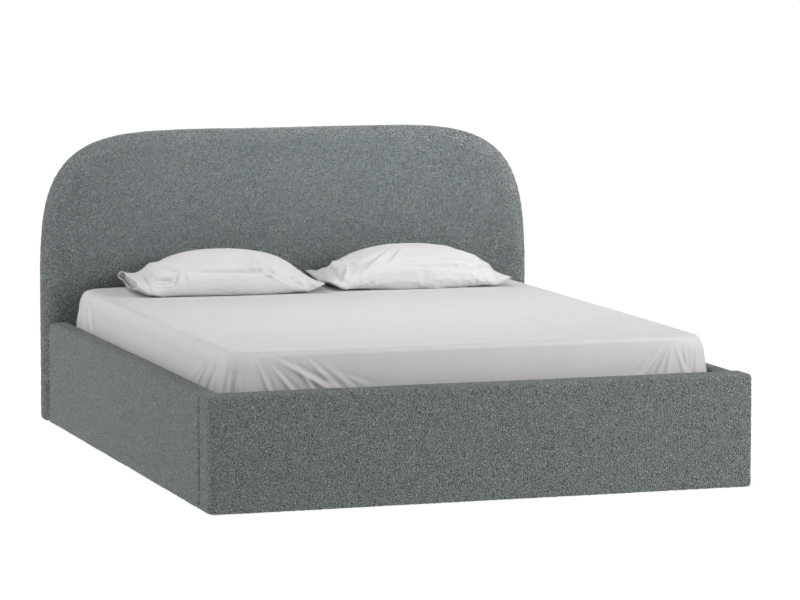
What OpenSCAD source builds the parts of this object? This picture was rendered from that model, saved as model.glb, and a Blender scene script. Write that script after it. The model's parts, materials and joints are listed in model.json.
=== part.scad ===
// Upholstered storage bed with a lifting mattress base.
// Millimetres. X runs across the bed, Y from foot to head, Z up.
// The origin is on the floor under the middle of the bed.

/* [Overall size] */
// Length of the bed from the footboard's front to the headboard's back
bed_l = 2225; // [2175:5:2275]
// Width over the two side rails and of the footboard
bed_w = 1800; // [1760:5:1840]
// Height of the side rails and of the footboard
rail_h = 360; // [350:1:380]
// Distance that the headboard stands out past each side rail
head_side = 16; // [5:1:30]
// Height of the headboard
head_h = 1033; // [960:1:1100]

/* [Upholstered panels] */
// Thickness of a side rail over its fabric
rail_t = 76; // [74:1:80]
// Thickness of the footboard over its fabric
foot_t = 116; // [112:1:120]
// Thickness of the headboard over its fabric
head_t = 95; // [90:1:100]
// Thickness of the cover fabric with its backing
cover_t = 2; // [1.5:0.5:2.5]
// Foam on the outer face of a side rail
rail_foam_out = 18; // [14:1:20]
// Foam on the inner face of a side rail
rail_foam_in = 10; // [8:1:12]
// Foam on top of the side rails and the footboard
top_foam = 22; // [18:1:26]
// Foam on the front face of the footboard
foot_foam_front = 26; // [22:1:28]
// Foam on the inner face of the footboard
foot_foam_back = 14; // [12:1:16]
// Foam round the ends of the footboard
foot_foam_end = 24; // [20:1:28]
// Chipboard of the footboard
foot_board_t = 16; // [15:1:18]
// Timber battens inside the headboard and the footboard
batten_w = 60; // [50:5:70]
// Board on the front of the headboard's timber frame
head_board_t = 12; // [10:1:14]
// Depth of the headboard's timber frame
head_frame_t = 40; // [36:1:42]
// Foam round the edge of the headboard's frame
head_foam_edge = 36; // [30:1:44]

/* [Roundings] */
// Width of a top corner of the headboard
corner_w = 695; // [600:5:760]
// Height of a top corner of the headboard
corner_h = 690; // [600:5:760]
// Squareness of a top corner, where 2 is a plain ellipse
corner_square = 4.3; // [3.4:0.1:5]
// Rounding of the headboard's front edge, across its face
head_edge_r = 46; // [38:1:50]
// Rounding of the headboard's back edge, across its back
head_back_r = 24; // [18:1:28]
// Rounding of the headboard's two lower corners
head_foot_r = 20; // [14:1:26]
// Rounding of a side rail's outer top edge
rail_edge_r = 24; // [18:1:28]
// Rounding of a side rail's inner top edge
rail_inner_r = 18; // [14:1:22]
// Rounding of the footboard's top edges
foot_edge_r = 15; // [11:1:18]
// Rounding of the footboard's two top corners
foot_corner_r = 22; // [18:1:28]
// Rounding of the footboard's two upright front edges
foot_side_r = 22; // [18:1:26]

/* [Mattress and bedding] */
// Thickness of the mattress
mattress_t = 200; // [180:5:220]
// Gap between the mattress and each side rail
mattress_side_gap = 24; // [18:1:30]
// Gap between the mattress and the headboard
mattress_head_gap = 10; // [9:1:14]
// Gap between the mattress and the footboard
mattress_foot_gap = 14; // [12:1:18]
// Radius of the mattress's upright corners
mattress_corner_r = 70; // [50:1:90]
// Rounding of the mattress's top and bottom edges
mattress_edge_r = 30; // [20:1:36]
// Thickness of the fitted sheet
sheet_t = 1.2; // [1:0.1:1.5]
// Depth of the gathers at the sheet's corners
gather_depth = 7; // [4:0.5:9]
// Gathers at each corner of the sheet
gathers = 5; // [3:1:7]
// Width of a pillow
pillow_w = 670; // [640:5:680]
// Depth of a pillow as it lies
pillow_d = 392; // [370:2:396]
// Height of a pillow's crown
pillow_h = 150; // [120:1:160]
// Distance that a pillow's sides are drawn in
pillow_draw = 22; // [10:1:30]
// Distance from the headboard to the middle of each pillow
pillow_back = 240; // [236:1:280]
// Turn of each pillow, its right end towards the foot
pillow_turn = 4; // [0:0.5:5]
// Gap between the two pillows
pillow_gap = 24; // [14:1:40]
// Place of that gap's middle across the bed
pillow_gap_x = 19; // [-30:1:30]

/* [Lift frame] */
// Height of the lift frame's underside above the floor
frame_z = 212; // [208:1:218]
// Height of a frame tube
tube_h = 40; // [36:1:44]
// Width of a frame tube
tube_w = 25; // [22:1:28]
// Wall of a frame tube
tube_wall = 1.5; // [1.2:0.1:2]
// Width of the centre tube
centre_tube_w = 40; // [36:1:46]
// Gap between the frame and the headboard
frame_head_gap = 27; // [24:1:34]
// Gap between the frame and the footboard
frame_foot_gap = 26; // [22:1:30]
// Slats in each of the two rows
slats = 14; // [12:1:16]
// Width of a slat
slat_w = 58; // [50:1:68]
// Thickness of a slat
slat_t = 8; // [7:1:9]
// Rise of a slat's middle over its ends
slat_crown = 15.7; // [12:0.1:18]
// Height of a slat holder
holder_h = 14; // [13:1:16]
// Length of a slat holder along the slat
holder_l = 34; // [30:1:38]
// Wall of a slat holder
holder_wall = 2; // [1.5:0.1:2.5]

/* [Lift mechanism] */
// Length of the rear arm between its pivots
rear_arm_l = 330; // [325:1:335]
// Angle of the rear arm above level when the bed is shut
rear_arm_rise = 11; // [10.5:0.1:11.5]
// Length of the front arm between its pivots
front_arm_l = 422; // [418:1:426]
// Angle of the front arm above level when the bed is shut
front_arm_rise = 15.4; // [15:0.1:15.8]
// Distance from the headboard to the rear arm's frame pivot
pivot_from_head = 433.5; // [425:0.5:440]
// Height of the rear arm's frame pivot above the frame's underside
pivot_rise = 30; // [27:1:32]
// Distance that the front arm's rail pivot lies towards the foot
pivot_gap_y = 127; // [124:1:130]
// Distance that the front arm's rail pivot lies lower
pivot_gap_z = 118; // [115:1:120]
// Distance from the rear arm's rail pivot to the gas spring's stud
stud_on_arm = 160; // [155:1:165]
// Distance from the rear arm's rail pivot towards the head to the spring's foot
gas_foot_y = 45; // [42:1:50]
// Distance from the rear arm's rail pivot down to the spring's foot
gas_foot_z = 109; // [105:1:112]
// Width of an arm
arm_w = 28; // [26:1:32]
// Thickness of an arm and of a mechanism plate
plate_t = 4; // [3:0.5:4.5]
// Radius of a pivot pin
pin_r = 6; // [5:0.5:7]
// Running clearance of a pivot, on the radius
pivot_clear = 0.1; // [0.05:0.01:0.1]
// Clearance of the front arm's frame pivot, on the radius
open_clear = 1.8; // [1.6:0.1:2.4]
// Radius of the gas spring's cylinder
gas_r = 9; // [8:0.5:10]
// Radius of the gas spring's rod
rod_r = 4; // [3.5:0.5:4.5]
// Radius of a gas spring stud
stud_r = 4; // [3.5:0.5:4.5]
// Clearance of the gas spring's upper eye, on the radius
eye_clear = 6.4; // [6.2:0.1:7]

/* [Storage box] */
// Height of the glides under the bed
glide_h = 5; // [4:1:8]
// Radius of a glide
glide_r = 12; // [10:1:14]
// Height of the cleats under the storage floor
cleat_h = 20; // [18:1:22]
// Width of the cleats under the storage floor
cleat_w = 20; // [18:1:26]
// Thickness of the storage floor
floor_t = 8; // [6:1:8]
// Width of the ledge beside each side rail
ledge_w = 60; // [56:1:64]
// Width of the ledge inside the footboard
foot_ledge_w = 45; // [42:1:50]
// Height of the ledges
ledge_h = 30; // [26:1:34]
// Gap between a side ledge and the lift mechanism's rail plate
ledge_gap = 64; // [50:1:80]
// Thickness of the felt pads on the ledges
pad_t = 2; // [1.5:0.5:3]
// Leg of a corner bracket
bracket_leg = 55; // [50:1:60]
// Height of a corner bracket
bracket_h = 110; // [100:5:115]
// Thickness of a corner bracket
bracket_t = 3; // [2.5:0.5:4]
// Radius of a bracket bolt
bolt_r = 4; // [3:0.5:5]

/* [Hidden] */

// Clearances and cuts
fit = 0.3;
snug = 0.2;
over = 10;

// Width of the headboard
head_w = bed_w + 2 * head_side;

// Faces of the box that the panels make
y_foot = -bed_l / 2;
y_head = bed_l / 2;
foot_in = y_foot + foot_t;
head_in = y_head - head_t;
inner_x = bed_w / 2 - rail_t;
rail_y0 = foot_in + fit;
rail_y1 = head_in - fit;

// Levels from the floor up
base_z = glide_h;
floor_z = base_z + cleat_h + fit;
tube_top = frame_z + tube_h;
slat_z = tube_top + holder_wall + fit;
mattress_z = slat_z + slat_t + slat_crown + fit;
mattress_top = mattress_z + mattress_t;
sheet_top = mattress_top + fit + sheet_t;

// Plan of the mattress
mattress_x = inner_x - mattress_side_gap;
mattress_y0 = foot_in + mattress_foot_gap;
mattress_y1 = head_in - mattress_head_gap;

// Plan of the lift frame, inside the mechanism's layers
layer_gap = 1;
head_gap = 4.5;
pin_head_t = 3;
gas_layer = 2 * gas_r + 2 * layer_gap;
rear_arm_off = plate_t + gas_layer + layer_gap;
front_arm_off = rear_arm_off + plate_t + head_gap;
frame_plate_off = front_arm_off + plate_t + layer_gap;
frame_x = inner_x - frame_plate_off - plate_t;
frame_y0 = foot_in + frame_foot_gap;
frame_y1 = head_in - frame_head_gap;

// Pivots of the mechanism in the Y-Z plane
frame_pivot = [head_in - pivot_from_head, frame_z + pivot_rise];
rear_pivot = frame_pivot - rear_arm_l * [cos(rear_arm_rise), sin(rear_arm_rise)];
front_pivot = rear_pivot - [pivot_gap_y, pivot_gap_z];
frame_pivot_low = front_pivot + front_arm_l * [cos(front_arm_rise), sin(front_arm_rise)];
gas_foot = rear_pivot + [gas_foot_y, -gas_foot_z];
gas_stud = rear_pivot + stud_on_arm * [cos(rear_arm_rise), sin(rear_arm_rise)];
gas_run = gas_stud - gas_foot;
gas_l = norm(gas_run);
gas_turn = atan2(gas_run[1], gas_run[0]);
plate_margin = 20;
gas_x = inner_x - plate_t - gas_layer / 2;

// Facets of the curves
arc_steps = 6;
corner_steps = 14;
edge_steps = 6;
$fn = 40;

function arc_points(c, r, a0, a1, n) =
    [for (i = [0:n]) c + r * [cos(a0 + (a1 - a0) * i / n), sin(a0 + (a1 - a0) * i / n)]];

// A panel's section: flat at the bottom, rounded at both top corners
function section_points(u0, u1, v0, v1, r0, r1) = concat(
    [[u0, v0], [u1, v0]],
    arc_points([u1 - r1, v1 - r1], r1, 0, 90, arc_steps),
    arc_points([u0 + r0, v1 - r0], r0, 90, 180, arc_steps));

// Faces of a loft whose rings have n points each, with flat caps on both ends
function loft_faces(n, rings) = concat(
    [[for (i = [0:n - 1]) i]],
    [for (j = [0:rings - 2], i = [0:n - 1], k = [0:1])
        let (a = j * n + i, b = j * n + (i + 1) % n)
        k == 0 ? [a, a + n, b + n] : [a, b + n, b]],
    [[for (i = [n - 1:-1:0]) (rings - 1) * n + i]]);

// Turns a flat drawing of Y and Z upright, and gives its place across the bed
module upright(x) {
    translate([x, 0, 0]) rotate([90, 0, 90]) children();
}

// A pin or a hole along X, between two places across the bed
module cross_pin(p, x0, x1, r) {
    upright(x0) translate([p[0], p[1], 0]) cylinder(h = x1 - x0, r = r);
}

// A bar along Y with a flat section of X and Z
module along_y(y0, y1) {
    translate([0, y1, 0]) rotate([90, 0, 0]) linear_extrude(height = y1 - y0) children();
}

// A box given by its two opposite corners
module block(a, b) {
    translate(a) cube(b - a);
}

// Headboard

bottom_share = 0.5;
head_board_y = head_in + head_t - cover_t - snug - head_frame_t - snug - head_board_t;
head_frame_y = head_board_y + head_board_t + snug;
head_core_inset = cover_t + head_foam_edge;
// How far a swept corner's points crowd towards its middle, where it turns most, in degrees
corner_crowd = 9;

// One of the headboard's outlines, drawn in by e, with a softer draw at the floor
function head_outline(e) =
    let (
        n = corner_square,
        rb = max(head_foot_r - e, snug),
        x = head_w / 2 - e,
        z = base_z + e * bottom_share,
        right = concat(
            arc_points([x - rb, z + rb], rb, -90, 0, arc_steps),
            [for (i = [0:corner_steps])
                let (
                    t = 90 * i / corner_steps,
                    a = t + corner_crowd * sin(4 * t),
                    r = 1 / pow(pow(cos(a), n) + pow(sin(a), n), 1 / n),
                    s = [r * cos(a), r * sin(a)],
                    p = [corner_w * s[0], corner_h * s[1]],
                    g = [pow(s[0], n - 1) / corner_w, pow(s[1], n - 1) / corner_h]
                )
                [head_w / 2 - corner_w, head_h - corner_h] + p - e * g / norm(g)])
    )
    concat(right, [for (i = [len(right) - 1:-1:0]) [-right[i][0], right[i][1]]]);

// The headboard's edge from its front face round to its back, in place and inset
function head_edge(e) = concat(
    [for (i = [0:edge_steps])
        let (a = 90 * i / edge_steps)
        [head_in + head_t / 2 - (head_t / 2 - e) * cos(a), head_edge_r - (head_edge_r - e) * sin(a)]],
    [for (i = [1:edge_steps])
        let (a = 90 + 90 * i / edge_steps)
        [y_head - head_t / 2 - (head_t / 2 - e) * cos(a), head_back_r - (head_back_r - e) * sin(a)]]);

// A solid that runs along a path of places and insets round the headboard
module head_loft(path) {
    rings = [for (s = path) [for (p = head_outline(s[1])) [p[0], s[0], p[1]]]];
    n = len(rings[0]);
    polyhedron(points = [for (r = rings) each r], faces = loft_faces(n, len(rings)));
}

function reversed(list) = [for (i = [len(list) - 1:-1:0]) list[i]];

module headboard_cover() {
    flange = head_core_inset + batten_w / 2;
    color("slategray")
        head_loft(concat(
            head_edge(cover_t),
            [[y_head - cover_t, flange], [y_head, flange]],
            reversed(head_edge(0))));
}

module headboard_foam() {
    inset = head_core_inset - snug;
    e = cover_t + snug;
    color("khaki")
        head_loft(concat(
            [[head_board_y - snug, inset], [y_head - e, inset]],
            reversed(head_edge(e))));
}

// A flat piece of the headboard, cut to its outline
module head_slice(y, t, inset) {
    translate([0, y + t, 0]) rotate([90, 0, 0])
        linear_extrude(height = t) polygon(head_outline(inset));
}

module headboard_board() {
    color("burlywood") head_slice(head_board_y, head_board_t, head_core_inset);
}

module headboard_frame() {
    inset = head_core_inset + batten_w;
    post_x = head_w / 6;
    low = base_z + inset * bottom_share + fit;
    high = head_h - inset - fit;
    color("burlywood") {
        difference() {
            head_slice(head_frame_y, head_frame_t, head_core_inset);
            head_slice(head_frame_y - over, head_frame_t + 2 * over, inset);
        }
        for (x = [-post_x, post_x])
            block([x - batten_w / 2, head_frame_y, low],
                [x + batten_w / 2, head_frame_y + head_frame_t, high]);
    }
}

module headboard_back_lining() {
    inset = head_core_inset + batten_w / 2 + snug;
    color("dimgray") head_slice(y_head - cover_t, cover_t, inset);
}

// Side rails, drawn on the right and mirrored to the left

// The rail's section, drawn in by e at its faces, and running past the bottom by d
function rail_points(e, d) = section_points(
    inner_x + e, bed_w / 2 - e, base_z - d, rail_h - e,
    rail_inner_r - e, rail_edge_r - e);

rail_board_x0 = inner_x + cover_t + rail_foam_in + snug;
rail_board_x1 = bed_w / 2 - cover_t - rail_foam_out - snug;
rail_board_top = rail_h - cover_t - top_foam - snug;

module on_side(side) {
    if (side == "left") mirror([1, 0, 0]) children();
    else children();
}

module rail_cover(side) {
    color("slategray") on_side(side) difference() {
        along_y(rail_y0, rail_y1) polygon(rail_points(0, 0));
        along_y(rail_y0 - over, rail_y1 + over) polygon(rail_points(cover_t, over));
    }
}

module rail_foam(side) {
    color("khaki") on_side(side) difference() {
        along_y(rail_y0, rail_y1) polygon(rail_points(cover_t + snug, 0));
        block([rail_board_x0 - snug, rail_y0 - over, base_z - over],
            [rail_board_x1 + snug, rail_y1 + over, rail_board_top + snug]);
    }
}

module rail_board(side) {
    color("burlywood") on_side(side)
        block([rail_board_x0, rail_y0, base_z], [rail_board_x1, rail_y1, rail_board_top]);
}

module side_rail_left_board() { rail_board("left"); }
module side_rail_left_foam() { rail_foam("left"); }
module side_rail_left_cover() { rail_cover("left"); }
module side_rail_right_board() { rail_board("right"); }
module side_rail_right_foam() { rail_foam("right"); }
module side_rail_right_cover() { rail_cover("right"); }

// Footboard

foot_x = bed_w / 2;
foot_core_x = foot_x - cover_t - foot_foam_end - snug;
foot_core_top = rail_h - cover_t - top_foam - snug;
foot_front_y = y_foot + cover_t + foot_foam_front + snug;
foot_back_y = foot_in - cover_t - foot_foam_back - snug;

// The footboard's outer form drawn in by e, running past the bottom by d
module foot_form(e, d) {
    intersection() {
        along_y(y_foot + e, foot_in - e)
            polygon(section_points(-foot_x + e, foot_x - e, base_z - d, rail_h - e,
                foot_corner_r - e, foot_corner_r - e));
        upright(-foot_x)
            linear_extrude(height = 2 * foot_x)
                polygon(section_points(y_foot + e, foot_in - e, base_z - d, rail_h - e,
                    foot_edge_r - e, foot_edge_r - e));
        translate([0, 0, base_z - d])
            linear_extrude(height = rail_h + d)
                polygon(concat(
                    [[foot_x - e, foot_in - e], [-foot_x + e, foot_in - e]],
                    arc_points([-foot_x + foot_side_r, y_foot + foot_side_r],
                        foot_side_r - e, 180, 270, arc_steps),
                    arc_points([foot_x - foot_side_r, y_foot + foot_side_r],
                        foot_side_r - e, 270, 360, arc_steps)));
    }
}

module footboard_cover() {
    color("slategray") difference() {
        foot_form(0, 0);
        foot_form(cover_t, over);
    }
}

module footboard_foam() {
    color("khaki") difference() {
        foot_form(cover_t + snug, 0);
        block([-foot_core_x - snug, foot_front_y - snug, base_z - over],
            [foot_core_x + snug, foot_back_y + snug, foot_core_top + snug]);
    }
}

module footboard_front_board() {
    color("burlywood")
        block([-foot_core_x, foot_front_y, base_z],
            [foot_core_x, foot_front_y + foot_board_t, foot_core_top]);
}

module footboard_back_board() {
    color("burlywood")
        block([-foot_core_x, foot_back_y - foot_board_t, base_z],
            [foot_core_x, foot_back_y, foot_core_top]);
}

module footboard_battens() {
    y0 = foot_front_y + foot_board_t + snug;
    y1 = foot_back_y - foot_board_t - snug;
    uprights = 4;
    color("wheat") {
        block([-foot_core_x, y0, base_z], [foot_core_x, y1, base_z + batten_w]);
        block([-foot_core_x, y0, foot_core_top - batten_w], [foot_core_x, y1, foot_core_top]);
        for (i = [0:uprights - 1])
            let (x = (foot_core_x - batten_w / 2) * (2 * i / (uprights - 1) - 1))
            block([x - batten_w / 2, y0, base_z + batten_w + snug],
                [x + batten_w / 2, y1, foot_core_top - batten_w - snug]);
    }
}

// Corner brackets and their bolts

bracket_z = floor_z + floor_t + over;
bolt_head_t = 5;
bolt_head_r = 1.8 * bolt_r;

// Places one corner's hardware: the head corner, or the foot corner turned round
module at_corners() {
    for (sx = [0, 1]) {
        mirror([sx, 0, 0]) translate([inner_x - fit, head_in - fit, 0]) children();
        mirror([sx, 0, 0]) translate([inner_x - fit, foot_in + fit, 0]) mirror([0, 1, 0]) children();
    }
}

module corner_brackets() {
    color("gray") at_corners() difference() {
        union() {
            block([-bracket_leg, -bracket_t, bracket_z], [0, 0, bracket_z + bracket_h]);
            block([-bracket_t, -bracket_leg, bracket_z], [0, 0, bracket_z + bracket_h]);
        }
        bracket_bolt_row() bolt_hole();
    }
}

module bracket_bolt_row() {
    d = bracket_leg * 0.6;
    for (z = [bracket_z + bracket_h / 4, bracket_z + bracket_h * 3 / 4]) {
        translate([-d, 0, z]) rotate([90, 0, 0]) children();
        translate([0, -d, z]) rotate([0, -90, 0]) children();
    }
}

module bolt_hole() {
    translate([0, 0, -over]) cylinder(h = bracket_t + 2 * over, r = bolt_r + snug);
}

module bracket_bolts() {
    color("silver") at_corners() bracket_bolt_row() {
        cylinder(h = bracket_t + fit, r = bolt_r);
        translate([0, 0, bracket_t + fit]) cylinder(h = bolt_head_t, r = bolt_head_r);
    }
}

// Floor glides and the storage floor

module floor_glides() {
    rail_x = (rail_board_x0 + rail_board_x1) / 2;
    foot_y = (foot_front_y + foot_back_y) / 2;
    head_y = head_in + head_t / 2;
    along = [for (i = [0:3]) rail_y0 + (rail_y1 - rail_y0) * (0.04 + 0.92 * i / 3)];
    head_x = head_w / 2 - head_core_inset - batten_w / 2;
    color("dimgray") {
        for (x = [-rail_x, rail_x], y = along) translate([x, y, 0]) cylinder(h = glide_h, r = glide_r);
        for (x = [-foot_x, 0, foot_x] * 0.92) translate([x, foot_y, 0]) cylinder(h = glide_h, r = glide_r);
        for (x = [-head_x, 0, head_x]) translate([x, head_y, 0]) cylinder(h = glide_h, r = glide_r);
        for (y = along) translate([0, y, 0]) cylinder(h = glide_h, r = glide_r);
    }
}

module floor_cleats() {
    x = inner_x - fit;
    y0 = foot_in + fit;
    y1 = head_in - fit;
    color("wheat") {
        for (s = ["left", "right"])
            on_side(s) block([x - cleat_w, y0, base_z], [x, y1, base_z + cleat_h]);
        for (s = ["left", "right"]) on_side(s) {
            block([cleat_w + fit, y0, base_z], [x - cleat_w - fit, y0 + cleat_w, base_z + cleat_h]);
            block([cleat_w + fit, y1 - cleat_w, base_z], [x - cleat_w - fit, y1, base_z + cleat_h]);
        }
    }
}

module centre_joist() {
    color("wheat")
        block([-cleat_w, foot_in + fit, base_z], [cleat_w, head_in - fit, base_z + cleat_h]);
}

module floor_panel(side) {
    color("linen") on_side(side)
        block([fit, foot_in + fit, floor_z], [inner_x - fit, head_in - fit, floor_z + floor_t]);
}

module storage_floor_left() { floor_panel("left"); }
module storage_floor_right() { floor_panel("right"); }

// Ledges that the lift frame rests on

ledge_top = frame_z - fit - pad_t - fit;
ledge_y0 = foot_in + foot_ledge_w + 2 * fit;
ledge_y1 = front_pivot[0] - plate_margin - ledge_gap;

module side_ledge(side) {
    color("wheat") on_side(side)
        block([inner_x - ledge_w, ledge_y0, ledge_top - ledge_h], [inner_x - fit, ledge_y1, ledge_top]);
}

module side_ledge_left() { side_ledge("left"); }
module side_ledge_right() { side_ledge("right"); }

module foot_ledge() {
    color("wheat")
        block([-inner_x + fit, foot_in + fit, ledge_top - ledge_h],
            [inner_x - fit, foot_in + foot_ledge_w, ledge_top]);
}

module ledge_pads() {
    pad_w = 12;
    pad_l = 60;
    pads = 3;
    color("dimgray") {
        for (s = ["left", "right"], i = [0:pads - 1])
            let (y = ledge_y0 + (ledge_y1 - ledge_y0 - pad_l) * i / (pads - 1))
            on_side(s) block([frame_x - pad_w, y, ledge_top + fit],
                [frame_x, y + pad_l, frame_z - fit]);
        for (s = ["left", "right"])
            on_side(s) block([frame_x / 2, frame_y0, ledge_top + fit],
                [frame_x / 2 + pad_l, frame_y0 + pad_w, frame_z - fit]);
    }
}

// Lift frame

module tube(a, b, open_axis) {
    w = tube_wall;
    grow = [for (i = [0:2]) i == open_axis ? over : -w];
    difference() {
        block(a, b);
        block(a - grow, b + grow);
    }
}

module frame_side_tube(side) {
    color("darkgray") on_side(side)
        tube([frame_x - tube_w, frame_y0, frame_z], [frame_x, frame_y1, tube_top], 1);
}

module frame_end_tube(y) {
    color("darkgray")
        tube([-frame_x + tube_w, y, frame_z], [frame_x - tube_w, y + tube_w, tube_top], 0);
}

module frame_tube_left() { frame_side_tube("left"); }
module frame_tube_right() { frame_side_tube("right"); }
module frame_tube_head() { frame_end_tube(frame_y1 - tube_w); }
module frame_tube_foot() { frame_end_tube(frame_y0); }

module frame_tube_centre() {
    c = centre_tube_w / 2;
    color("darkgray")
        tube([-c, frame_y0 + tube_w, frame_z], [c, frame_y1 - tube_w, tube_top], 1);
}

// The cross tube runs from side to side in two lengths, beside the rear arm's pivot
module frame_tube_cross() {
    y = frame_pivot[0];
    color("darkgray")
        for (s = ["left", "right"])
            on_side(s) tube([centre_tube_w / 2, y, frame_z], [frame_x - tube_w, y + tube_w, tube_top], 0);
}

// Slats and their holders

slat_end_gap = 4 * fit;
slat_x0 = holder_wall + slat_end_gap;
slat_x1 = frame_x - holder_wall - slat_end_gap;
slat_pitch = (frame_y1 - frame_y0 - slat_w - 2 * tube_w) / (slats - 1);

function slat_y(i) = frame_y0 + tube_w + i * slat_pitch;

// A bent slat's section: two arcs, one slat thickness apart
function slat_points() =
    let (
        half = (slat_x1 - slat_x0) / 2,
        r = (half * half + slat_crown * slat_crown) / (2 * slat_crown),
        a = asin(half / r),
        c = [(slat_x0 + slat_x1) / 2, slat_z + slat_crown - r],
        n = 2 * arc_steps
    )
    concat(arc_points(c, r, 90 - a, 90 + a, n), arc_points(c, r + slat_t, 90 + a, 90 - a, n));

module slat_row(side) {
    color("burlywood") on_side(side)
        for (i = [0:slats - 1])
            along_y(slat_y(i), slat_y(i) + slat_w) polygon(slat_points());
}

module slats_left() { slat_row("left"); }
module slats_right() { slat_row("right"); }

// A holder is a cap on the slat's end, with its pocket open to the slat
module slat_holder(x0, x1, y, pocket_x0, pocket_x1) {
    w = holder_wall;
    difference() {
        block([x0, y - w - fit, tube_top], [x1, y + slat_w + w + fit, tube_top + holder_h]);
        block([pocket_x0, y - fit, tube_top + w], [pocket_x1, y + slat_w + fit, tube_top + holder_h - w / 2]);
    }
}

module outer_holders(side) {
    color("dimgray") on_side(side)
        for (i = [0:slats - 1])
            slat_holder(frame_x - holder_l, frame_x, slat_y(i),
                frame_x - holder_l - over, frame_x - holder_wall);
}

module slat_holders_left() { outer_holders("left"); }
module slat_holders_right() { outer_holders("right"); }

module slat_holders_centre() {
    color("dimgray")
        for (s = ["left", "right"], i = [0:slats - 1])
            on_side(s) slat_holder(snug, holder_l, slat_y(i), holder_wall, holder_l + over);
}

// Upstands that keep the mattress from sliding to the head
module mattress_stops() {
    stop_w = 50;
    stop_rise = 55;
    stop_t = 2;
    stop_x = frame_x * 0.55;
    y = mattress_y1 + 3 * fit + sheet_t;
    color("gray")
        for (x = [-stop_x, stop_x]) {
            block([x - stop_w / 2, frame_y1 + fit, frame_z], [x + stop_w / 2, frame_y1 + fit + stop_t, tube_top]);
            block([x - stop_w / 2, frame_y1 + fit, tube_top - stop_t], [x + stop_w / 2, y + stop_t, tube_top]);
            block([x - stop_w / 2, y, tube_top - stop_t], [x + stop_w / 2, y + stop_t, mattress_z + stop_rise]);
        }
}

// A webbing loop at the foot end, for opening the bed
module pull_strap() {
    strap_w = 40;
    strap_t = 2;
    strap_rise = 50;
    y1 = mattress_y0 - 2 * strap_t;
    y0 = y1 - strap_t;
    color("black") {
        block([-strap_w / 2, y0, frame_z - strap_t], [strap_w / 2, y1, mattress_z + strap_rise]);
        block([-strap_w / 2, y0, frame_z - fit - strap_t], [strap_w / 2, frame_y0 + tube_w, frame_z - fit]);
    }
}

// Lift mechanism, drawn on the right and mirrored to the left

// A flat bar with round ends between two points
function link_points(a, b, r) =
    let (t = atan2(b[1] - a[1], b[0] - a[0]))
    concat(arc_points(a, r, t + 90, t + 270, 2 * arc_steps),
        arc_points(b, r, t - 90, t + 90, 2 * arc_steps));

module link(x, a, b, r) {
    upright(x) linear_extrude(height = plate_t) polygon(link_points(a, b, r));
}

rail_plate_x = inner_x - fit - plate_t;
rear_arm_x = inner_x - rear_arm_off - plate_t;
front_arm_x = inner_x - front_arm_off - plate_t;
frame_plate_x = frame_x + fit;

module rail_plate(side) {
    color("gray") on_side(side) difference() {
        union() {
            link(rail_plate_x, front_pivot, gas_foot, plate_margin);
            link(rail_plate_x, gas_foot, rear_pivot, plate_margin);
            link(rail_plate_x, rear_pivot, front_pivot, plate_margin);
        }
        for (p = [front_pivot, rear_pivot, gas_foot])
            cross_pin(p, rail_plate_x - over, rail_plate_x + plate_t + over, pin_r + pivot_clear);
        for (p = rail_screw_places())
            cross_pin(p, rail_plate_x - over, rail_plate_x + plate_t + over, bolt_r);
    }
}

function rail_screw_places() = [
    (2 * front_pivot + gas_foot) / 3,
    (front_pivot + 2 * gas_foot) / 3,
    (rear_pivot + front_pivot) / 2,
    (rear_pivot + gas_foot) / 2
];

module rear_arm(side) {
    color("gray") on_side(side) difference() {
        link(rear_arm_x, rear_pivot, frame_pivot, arm_w / 2);
        for (p = [rear_pivot, frame_pivot, gas_stud])
            cross_pin(p, rear_arm_x - over, rear_arm_x + plate_t + over, pin_r + pivot_clear);
    }
}

module front_arm(side) {
    color("gray") on_side(side) difference() {
        link(front_arm_x, front_pivot, frame_pivot_low, arm_w / 2);
        cross_pin(front_pivot, front_arm_x - over, front_arm_x + plate_t + over, pin_r + pivot_clear);
        cross_pin(frame_pivot_low, front_arm_x - over, front_arm_x + plate_t + over, pin_r + open_clear);
    }
}

frame_plate_l = 250;

function frame_screw_places() =
    [for (i = [1:3]) [frame_pivot[0] + frame_plate_l * i / 4, frame_z + tube_h / 2]];

module frame_plate(side) {
    y0 = frame_pivot[0] - arm_w;
    color("gray") on_side(side) difference() {
        union() {
            block([frame_plate_x, y0, frame_z], [frame_plate_x + plate_t, y0 + frame_plate_l, tube_top]);
            link(frame_plate_x, frame_pivot_low, frame_pivot + [arm_w, -tube_h / 2], plate_margin / 2 + arm_w / 4);
        }
        for (p = [frame_pivot, frame_pivot_low])
            cross_pin(p, frame_plate_x - over, frame_plate_x + plate_t + over, pin_r + pivot_clear);
        for (p = frame_screw_places())
            cross_pin(p, frame_plate_x - over, frame_plate_x + plate_t + over, bolt_r);
    }
}

// Pins that stand on the rail plates: two arm pivots and the gas spring's foot
module rail_plate_pins() {
    x1 = inner_x - fit;
    color("silver")
        for (s = ["left", "right"]) on_side(s) {
            cross_pin(rear_pivot, rear_arm_x - layer_gap / 2, x1, pin_r);
            cross_pin(rear_pivot, rear_arm_x - pin_head_t, rear_arm_x - layer_gap / 2, pin_r + arm_w / 8);
            cross_pin(front_pivot, front_arm_x - layer_gap / 2, x1, pin_r);
            cross_pin(gas_foot, gas_x - gas_r, x1, pin_r);
        }
}

// Pins that stand on the frame plates: the arms' upper pivots
module frame_plate_pins() {
    color("silver")
        for (s = ["left", "right"]) on_side(s) {
            cross_pin(frame_pivot, frame_plate_x, rear_arm_x + plate_t + layer_gap / 2, pin_r);
            cross_pin(frame_pivot_low, frame_plate_x, front_arm_x + plate_t + layer_gap / 2, pin_r);
            cross_pin(frame_pivot_low, front_arm_x + plate_t + layer_gap / 2,
                front_arm_x + plate_t + pin_head_t, pin_r + arm_w / 8);
        }
}

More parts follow.
